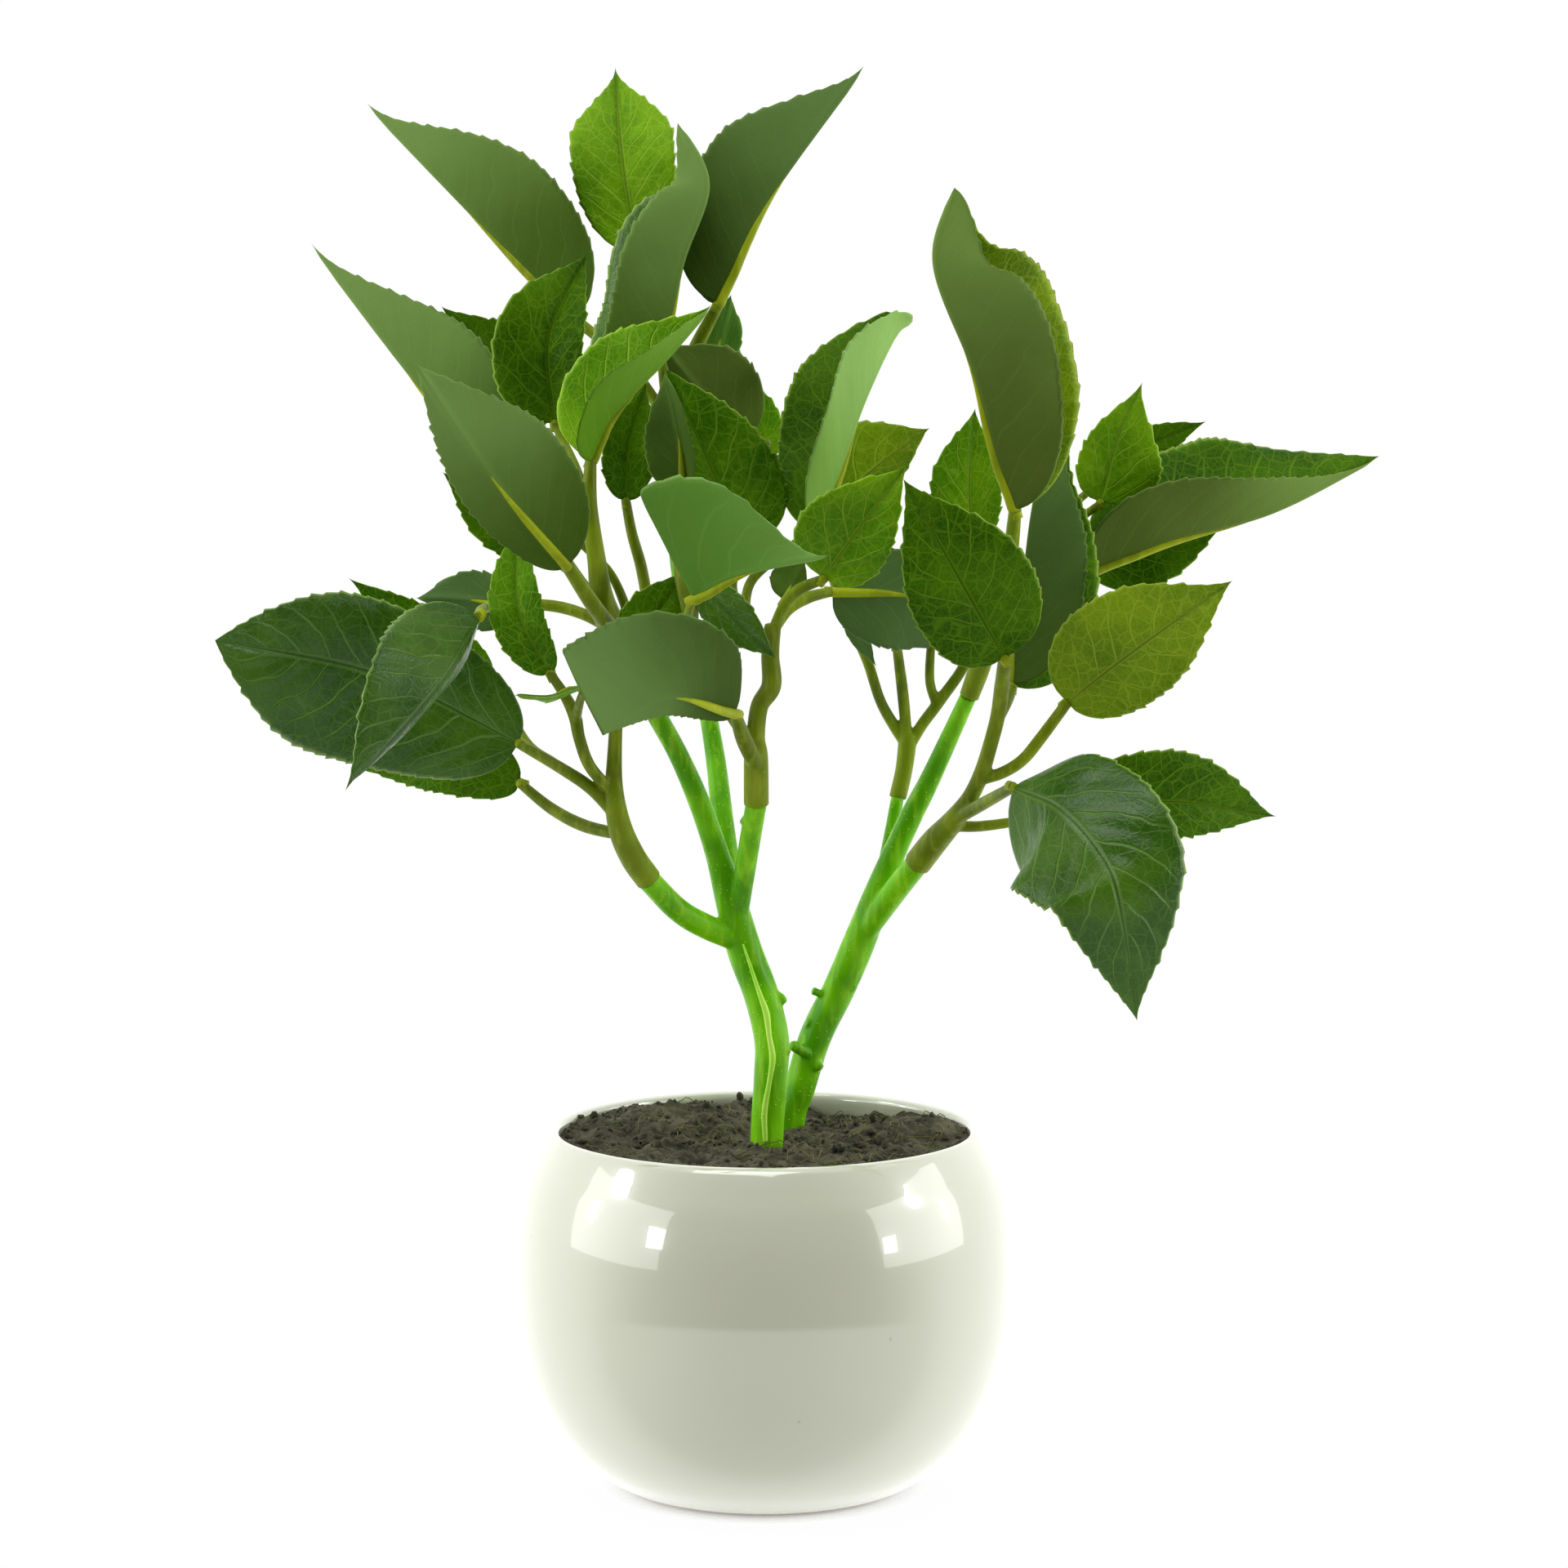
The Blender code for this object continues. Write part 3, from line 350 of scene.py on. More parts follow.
fibre_x, fibre_y = fibre_x * pull, fibre_y * pull
lift = chance.uniform(0.1, 1.5, FIBRES)[:, None]
fibre_z = soil_height(fibre_x, fibre_y) + 0.25 + lift * np.sin(np.pi * step)
paths = np.stack([fibre_x, fibre_y, fibre_z], -1)
points, quads = swept(paths, np.full(paths.shape[:2], FIBRE_RADIUS), 5, (0.1, 0.2, 1.0))
make_piece("soil_fibres", points, quads, [dry_fibre])

# ---------------------------------------------------------------- the stems
# Two stems moulded in soft, bright green plastic round a wire, each with stubs for the twigs.
# The mould leaves pimples and a wavy pale seam. Both feet are pushed deep into the soil.

CROWN_LOW = 75.0
CROWN_GROWTH = 70.0
CROWN_SPREAD = 1.7
CROWN_SETTLE = np.array([0.6, 0.0, -1.3])
EYE = np.array([3.3, -1000.0, 260.0])
LEFT_FOOT = (0.5, -8.0)
RIGHT_FOOT = (5.0, 11.0)
STEM_LEFT = [
    [
        (*LEFT_FOOT, 56.0, 3.3), (*LEFT_FOOT, 72.0, 3.3), (1.2, -7.6, 85.0, 3.4),
        (1.3, -7.0, 92.0, 3.5), (-0.8, -6.0, 101.0, 3.5), (-4.2, -5.0, 110.0, 3.5),
        (-7.0, -5.0, 120.0, 3.1), (-9.9, -5.0, 130.0, 2.4), (-13.3, -5.5, 140.0, 2.2),
        (-17.6, -6.0, 150.0, 2.0), (-22.5, -6.5, 159.0, 2.0), (-27.0, -6.0, 167.0, 2.0),
    ],
    [
        (-5.6, -4.4, 114.0, 2.4), (-8.5, 0.0, 133.0, 2.3), (-10.4, 5.0, 148.0, 2.0),
        (-13.2, 9.0, 163.0, 1.7), (-17.2, 12.0, 180.0, 1.5), (-19.3, 14.0, 197.0, 1.4),
    ],
    [
        (-3.8, -5.0, 111.5, 2.4), (-12.0, -7.0, 115.3, 2.5), (-17.5, -9.0, 119.0, 2.4),
        (-23.3, -11.2, 125.4, 2.3),
    ],
    [(-5.6, -5.3, 117.0, 2.0), (-3.6, -8.0, 131.0, 2.1), (-2.1, -10.1, 140.8, 2.1)],
    # pips left by the mould
    [(0.6, -6.0, 101.5, 1.2), (3.0, -6.6, 100.6, 1.0), (4.0, -6.8, 99.6, 0.6)],
    [(1.4, -7.0, 93.0, 1.6), (4.0, -8.0, 90.5, 0.9), (5.0, -8.2, 89.6, 0.6)],
    [(-2.6, -9.0, 136.0, 0.8), (-5.2, -9.2, 137.2, 0.7)],
]
STEM_RIGHT = [
    [
        (*RIGHT_FOOT, 56.0, 3.2), (*RIGHT_FOOT, 72.0, 3.2), (7.0, 10.6, 79.0, 3.2),
        (10.2, 10.0, 90.0, 3.3), (14.8, 9.0, 100.0, 3.3), (18.8, 8.0, 110.0, 3.3),
        (22.4, 7.0, 120.0, 2.9), (25.6, 7.0, 128.5, 2.4), (28.9, 7.0, 136.0, 2.3),
        (32.3, 6.8, 143.0, 2.1), (35.9, 6.0, 151.0, 1.9), (40.0, 4.0, 160.4, 1.7),
    ],
    [(20.0, 7.0, 112.0, 2.2), (26.0, 3.0, 121.5, 2.5), (30.2, -0.3, 127.4, 2.4)],
    [(21.6, 7.6, 116.0, 1.3), (24.6, 11.0, 130.0, 1.4), (26.25, 12.55, 139.2, 1.35)],
    # pips left by the mould
    [(13.4, 8.6, 98.4, 1.0), (10.8, 7.8, 99.2, 0.8), (9.4, 7.4, 99.9, 0.9)],
    [(10.6, 8.8, 92.2, 1.0), (8.2, 8.0, 93.0, 0.8)],
    [(8.6, 8.0, 86.6, 1.2), (6.0, 6.4, 88.4, 1.2), (5.2, 5.8, 88.8, 0.8)],
    [(9.6, 9.0, 84.6, 1.4), (11.4, 7.6, 83.8, 0.8)],
    [(16.4, 8.0, 101.0, 1.4), (18.2, 7.4, 100.2, 0.7)],
    [(18.6, 8.0, 111.0, 1.2), (16.3, 7.0, 112.2, 0.6)],
    [(19.6, 8.0, 111.4, 1.4), (22.2, 7.0, 111.0, 0.7)],
]
SEAM = [
    (0.2, -11.4, 72.0, 0.51),
    (0.0, -11.4, 78.0, 0.63),
    (0.9, -11.2, 84.0, 0.54),
    (1.5, -10.7, 89.0, 0.69),
    (0.8, -10.4, 93.5, 0.57),
    (0.2, -9.9, 98.0, 0.72),
    (-1.2, -9.4, 102.0, 0.51),
    (-2.9, -8.6, 107.0, 0.39),
    (-4.6, -8.2, 112.0, 0.24),
]
ROD_STEP = 0.7
ROD_ASIDE = (0.23, -1.0, 0.31)


def spread(points):
    """Slides each point on its line to the eye until its depth is CROWN_SPREAD times its own.

    It then moves by CROWN_SETTLE. Both start at CROWN_LOW and are whole CROWN_GROWTH above it.
    """
    given = np.asarray(points, float)
    place = given[:, :3]
    grow = np.clip((place[:, 2] - CROWN_LOW) / CROWN_GROWTH, 0.0, 1.0)
    depth = place[:, 1] * (1 + (CROWN_SPREAD - 1) * grow)
    scale = (depth - EYE[1]) / (place[:, 1] - EYE[1])
    slid = EYE + (place - EYE) * scale[:, None] + CROWN_SETTLE * grow[:, None]
    return np.hstack([slid, given[:, 3:]])


def fused(name, limbs, sides, grain, skins, stands_for):
    """Rods moulded as one body: swept one by one, joined by a voxel remesh, and smoothed."""
    points = []
    quads = []
    for limb in limbs:
        limb = spread(limb)
        length = np.linalg.norm(np.diff(limb[:, :3], axis=0), axis=1).sum()
        line = smooth_line(limb, int(length / ROD_STEP) + 4)
        more, faces = swept(line[None, :, :3], line[None, :, 3], sides, ROD_ASIDE)
        quads.append(faces + sum(len(p) for p in points))
        points.append(more)
    obj = make_piece(name, np.vstack(points), np.vstack(quads), skins, stands_for)
    join = obj.modifiers.new("join", "REMESH")
    join.mode = "VOXEL"
    join.voxel_size = grain * MM
    join.use_smooth_shade = True
    soften = obj.modifiers.new("soften", "SMOOTH")
    soften.factor = 0.5
    soften.iterations = 4
    ready = obj.evaluated_get(bpy.context.evaluated_depsgraph_get())
    rough = obj.data
    obj.data = bpy.data.meshes.new_from_object(ready)
    obj.modifiers.clear()
    obj.data.shade_smooth()
    bpy.data.meshes.remove(rough)
    obj.data.name = name


def plastic(name, dark, light, edge, pimples, roughness):
    """Moulded plastic: cloudy colour, paler pimples in its mould's grain, and a soft gloss."""
    skin, tree, shader = new_skin(name, Specular_IOR_Level=0.12, Coat_Weight=0.08, Coat_Roughness=0.2)
    place = node(tree, "TexCoord", {}, "Object")
    cloud = node(tree, "TexNoise", {"Vector": place, "Scale": 70.0, "Detail": 2.0})
    drawn = node(tree, "Mapping", {"Vector": place, "Scale": (1.0, 1.0, 0.16)})
    streak = node(tree, "TexNoise", {"Vector": drawn, "Scale": 620.0, "Detail": 2.0})
    grain = node(tree, "TexVoronoi", {"Vector": place, "Scale": 820.0})
    pimple = ease(tree, grain, 0.08, 0.22, 1.0, 0.0)
    tone = blend_of(tree, ease(tree, cloud, 0.35, 0.65), paint(dark), paint(light))
    tone = blend_of(tree, ease(tree, streak, 0.45, 0.75, 0.0, 0.35), tone, paint(edge))
    tone = blend_of(tree, sums(tree, "MULTIPLY", pimple, pimples), tone, paint(edge))
    relief = sums(tree, "MULTIPLY_ADD", pimple, 0.8 * pimples, sums(tree, "MULTIPLY", streak, 0.6))
    dress(tree, shader, tone, sums(tree, "MULTIPLY_ADD", cloud, 0.2, roughness - 0.1), relief, 0.25)
    return skin


stem_green = plastic("stem_green", "509c00", "76c600", "b8ee38", 0.5, 0.36)
seam_green = plastic("seam_green", "9be12e", "c4f660", "e5ffa7", 0.4, 0.4)
for name, limbs in (("stem_left", STEM_LEFT), ("stem_right", STEM_RIGHT)):
    fused(name, limbs, 20, 0.34, [stem_green], [name])
fused("stem_left_seam", [SEAM], 10, 0.2, [seam_green], [])

# ---------------------------------------------------------------- the twigs
# Seven olive twigs of stiffer plastic. Each has a sleeve that pushes over a stub of the stem and
# splits into leaf stalks, which are glued under the midribs of the blades.

TWIGS = {
    "twig_left": [
        [
            (-23.1, -11.1, 125.2, 2.6), (-26.3, -12.0, 130.0, 2.6), (-28.8, -13.0, 136.0, 2.4),
            (-30.0, -13.0, 143.0, 1.9), (-30.0, -12.0, 150.0, 1.5), (-29.3, -12.0, 162.0, 1.2),
            (-28.2, -11.9, 170.2, 1.0),
        ],
        [
            (-29.2, -13.0, 138.0, 1.2), (-34.3, -13.0, 143.8, 1.3), (-40.0, -12.5, 147.7, 1.2),
            (-48.4, -9.3, 152.2, 1.0),
        ],
        [
            (-28.4, -12.5, 134.6, 1.2), (-36.0, -9.0, 136.0, 1.3), (-42.5, -6.0, 139.0, 1.2),
            (-48.5, -4.1, 143.6, 1.0),
        ],
        [
            (-29.6, -13.0, 142.5, 1.2), (-34.6, -14.0, 148.3, 1.2), (-36.7, -15.0, 154.0, 1.2),
            (-37.6, -15.0, 158.5, 1.3), (-39.5, -15.0, 162.5, 1.1), (-42.1, -14.2, 166.3, 0.9),
        ],
        [(-37.4, -15.0, 158.0, 1.0), (-36.6, -18.5, 161.3, 0.9), (-36.0, -20.6, 163.2, 0.8)],
        [
            (-36.4, -13.0, 145.4, 0.9), (-42.0, -8.0, 148.6, 0.9), (-48.0, -3.0, 152.6, 0.9),
            (-54.4, 1.6, 164.4, 0.8),
        ],
    ],
    "twig_center": [
        [
            (-2.1, -10.2, 140.4, 2.5), (-2.2, -11.0, 150.0, 2.4), (-2.3, -10.3, 154.0, 1.9),
            (-1.5, -10.0, 160.0, 1.8), (0.8, -10.0, 164.0, 2.0), (0.6, -10.0, 170.0, 1.8),
            (1.0, -10.5, 175.0, 1.7),
        ],
        [(-2.2, -11.5, 148.5, 1.6), (-4.6, -14.5, 154.0, 1.6), (-6.0, -17.3, 158.6, 1.2)],
        [
            (0.6, -10.2, 173.2, 1.1), (-2.6, -9.2, 174.8, 1.1), (-5.2, -6.5, 178.0, 1.1),
            (-6.9, -3.0, 183.5, 1.0), (-4.3, -0.5, 189.4, 0.9),
        ],
        [
            (-4.6, -7.0, 177.4, 1.0), (-3.3, -5.5, 184.0, 1.0), (2.0, -4.0, 189.0, 1.0),
            (8.5, -2.2, 193.4, 0.9),
        ],
        [
            (0.9, -10.4, 173.8, 1.2), (3.2, -11.6, 179.5, 1.2), (6.0, -12.8, 183.0, 1.2),
            (10.5, -13.8, 185.1, 1.0),
        ],
        [
            (1.0, -10.4, 174.6, 1.1), (4.0, -9.5, 178.9, 1.2), (8.0, -8.0, 181.2, 1.2),
            (12.3, -6.4, 182.2, 1.0),
        ],
        [
            (-2.3, -10.6, 151.0, 1.3), (-8.0, -11.5, 160.0, 1.3), (-13.0, -13.0, 169.0, 1.4),
            (-14.7, -14.5, 176.5, 1.4), (-16.8, -12.5, 186.0, 1.4), (-17.3, -8.5, 193.0, 1.3),
            (-16.2, -4.6, 200.4, 1.0),
        ],
        [(-14.6, -14.5, 174.5, 1.1), (-15.4, -18.5, 178.2, 1.0), (-14.7, -21.3, 181.0, 0.9)],
        [(-14.5, -13.8, 174.5, 1.0), (-14.2, -12.0, 180.0, 0.9), (-13.9, -13.2, 184.8, 0.8)],
    ],
    "twig_upper_left": [
        [
            (-27.2, -6.0, 167.4, 2.5), (-30.3, -6.5, 174.5, 2.9), (-32.5, -7.0, 181.0, 2.4),
            (-33.4, -8.0, 188.0, 1.9), (-34.8, -8.5, 199.0, 1.6), (-34.6, -8.1, 207.4, 1.2),
        ],
        [(-30.3, -7.5, 174.5, 1.7), (-34.0, -12.0, 180.0, 1.6), (-38.4, -15.6, 187.2, 1.3)],
        [
            (-31.0, -6.0, 176.5, 1.2), (-37.0, -1.5, 184.0, 1.2), (-43.0, 4.0, 192.0, 1.1),
            (-49.6, 7.7, 199.6, 1.0),
        ],
        [
            (-30.3, -6.5, 174.8, 1.3), (-36.0, -5.0, 177.6, 1.2), (-42.0, -4.0, 179.2, 1.2),
            (-49.0, -5.0, 179.6, 1.1), (-55.4, -9.0, 179.2, 1.0), (-56.4, -14.4, 178.4, 0.9),
        ],
        [(-38.0, -5.0, 178.3, 0.9), (-44.0, 0.0, 179.0, 0.9), (-49.5, 3.7, 178.3, 0.8)],
        [(-37.5, -1.2, 184.6, 0.9), (-43.6, -5.5, 189.6, 0.8)],
        [
            (-30.0, -5.5, 173.5, 1.3), (-26.6, -1.0, 175.5, 1.2), (-24.2, 2.5, 179.5, 1.2),
            (-25.0, 4.0, 186.0, 1.2), (-26.9, 4.0, 193.0, 1.1), (-28.0, 4.0, 199.0, 1.0),
        ],
        [
            (-27.3, -2.0, 175.2, 1.0), (-28.4, -2.5, 180.0, 1.0), (-31.3, -2.5, 186.0, 0.9),
            (-36.6, -3.4, 191.4, 0.8),
        ],
        [(-34.7, -8.0, 199.0, 1.0), (-38.0, -3.0, 207.0, 1.0), (-41.8, 1.6, 214.3, 0.8)],
        [(-37.4, -4.0, 205.6, 0.9), (-43.0, 10.0, 208.0, 0.9), (-46.8, 23.2, 211.5, 0.8)],
    ],
    "twig_top": [
        [(-19.35, 14.05, 197.5, 1.9), (-20.0, 15.0, 208.0, 1.9), (-20.0, 16.0, 217.5, 1.7)],
        [(-20.0, 15.5, 215.0, 1.2), (-15.0, 14.0, 228.0, 1.5), (-10.2, 12.1, 237.3, 1.2)],
        [(-20.0, 16.0, 216.0, 1.1), (-22.0, 20.0, 232.0, 1.1), (-26.2, 26.3, 246.9, 0.9)],
        [(-20.0, 16.0, 215.0, 1.2), (-28.0, 18.0, 226.0, 1.2), (-38.4, 19.8, 234.9, 1.1)],
        [(-20.0, 15.0, 208.0, 1.0), (-27.0, 11.0, 211.0, 1.1), (-33.6, 6.4, 215.3, 0.9)],
        [(-20.0, 15.5, 213.5, 0.9), (-15.0, 17.0, 219.5, 0.9), (-11.2, 18.0, 224.4, 0.8)],
        [(-20.0, 15.0, 204.0, 1.0), (-8.0, 13.0, 204.5, 1.0), (-0.5, 10.2, 210.3, 0.8)],
        [(-9.0, 13.2, 204.4, 0.9), (-5.5, 15.0, 203.5, 0.9), (-2.4, 16.0, 205.4, 0.8)],
    ],
    "twig_right": [
        [
            (30.05, -0.15, 127.2, 2.8), (33.3, -3.0, 132.0, 2.7), (37.0, -6.0, 136.8, 2.2),
            (40.0, -8.0, 141.5, 1.7), (42.2, -9.0, 146.5, 1.6), (43.8, -10.0, 152.0, 1.5),
            (45.3, -10.5, 158.0, 1.5), (46.0, -12.0, 164.0, 1.5), (46.3, -15.4, 169.8, 1.2),
        ],
        [(37.0, -6.2, 136.8, 1.3), (42.0, -11.5, 140.5, 1.3), (47.5, -19.3, 144.8, 1.1)],
        [
            (36.6, -5.6, 135.6, 1.2), (42.0, -5.2, 135.4, 1.1), (50.0, -4.6, 136.4, 1.0),
            (59.4, -4.0, 138.0, 0.9),
        ],
        [
            (41.6, -8.8, 145.2, 1.2), (46.4, -9.5, 146.8, 1.2), (50.4, -9.5, 149.4, 1.2),
            (54.0, -9.3, 153.8, 1.2), (58.6, -9.0, 160.0, 1.1),
        ],
        [(45.2, -10.6, 157.0, 1.1), (47.4, -8.0, 161.0, 1.1), (48.2, -6.3, 163.0, 1.0)],
    ],
    "twig_right_top": [
        [
            (40.15, 3.95, 160.4, 2.0), (42.7, 3.0, 168.0, 2.2), (45.0, 0.0, 178.0, 1.8),
            (47.5, -5.5, 187.5, 1.6), (48.5, -9.7, 197.9, 1.3),
        ],
        [
            (44.0, 1.5, 173.5, 1.1), (53.0, 9.0, 179.5, 1.1), (60.0, 10.5, 182.8, 1.0),
            (64.4, 8.4, 185.2, 0.9),
        ],
        [(53.0, 9.4, 179.6, 0.9), (58.0, 13.0, 182.6, 0.9), (63.5, 15.6, 185.7, 0.8)],
        [
            (44.6, 1.2, 175.5, 1.1), (52.0, 8.5, 184.0, 1.1), (60.0, 9.2, 193.5, 0.9),
            (66.0, 9.0, 198.4, 0.8),
        ],
        [
            (51.6, 8.2, 183.6, 0.9), (56.0, 14.0, 189.0, 0.9), (60.0, 20.0, 196.0, 0.9),
            (67.6, 22.0, 202.6, 0.8),
        ],
    ],
    "twig_back_right": [
        [(26.25, 12.55, 139.0, 1.8), (27.5, 13.0, 145.0, 1.8), (28.2, 13.0, 151.0, 1.9)],
        [
            (28.2, 13.0, 149.5, 1.2), (25.4, 13.0, 153.8, 1.2), (22.6, 12.0, 159.0, 1.1),
            (20.0, 11.0, 167.0, 1.1), (16.7, 10.5, 174.5, 1.1), (13.0, 10.5, 184.0, 1.0),
            (10.8, 9.8, 194.9, 0.8),
        ],
        [(28.2, 13.0, 149.5, 1.1), (27.2, 12.0, 160.0, 1.2), (25.9, 8.6, 170.0, 1.0)],
        [
            (28.2, 13.0, 149.0, 1.2), (31.0, 13.0, 153.8, 1.2), (34.8, 13.0, 159.0, 1.2),
            (40.0, 13.5, 167.0, 1.1), (41.6, 14.0, 177.0, 1.0), (41.1, 14.0, 189.4, 0.9),
        ],
        [(34.0, 13.0, 157.8, 1.0), (32.6, 13.2, 163.0, 1.0), (32.9, 12.2, 171.4, 0.9)],
    ],
}


def longer(limb, extra):
    """The rod with one more point, `extra` mm straight on from its end and a little thinner."""
    given = np.asarray(limb, float)
    ahead = given[-1, :3] - given[-2, :3]
    tip = given[-1, :3] + extra * ahead / np.linalg.norm(ahead)
    return np.vstack([given, [*tip, 0.9 * given[-1, 3]]])


twig_olive = plastic("twig_olive", "586a04", "788c0c", "a4b430", 0.2, 0.5)
for name, limbs in TWIGS.items():
    stalks = [longer(limb, 1.2) for limb in limbs]
    fused(name, stalks, 16, 0.27, [twig_olive], [name])

# ---------------------------------------------------------------- the leaves
# Blades cut with a toothed edge from printed cloth and pressed into pleats between the side veins.
# The upper face is printed with veins; the lower is pale. A plastic rib is glued under the midrib.

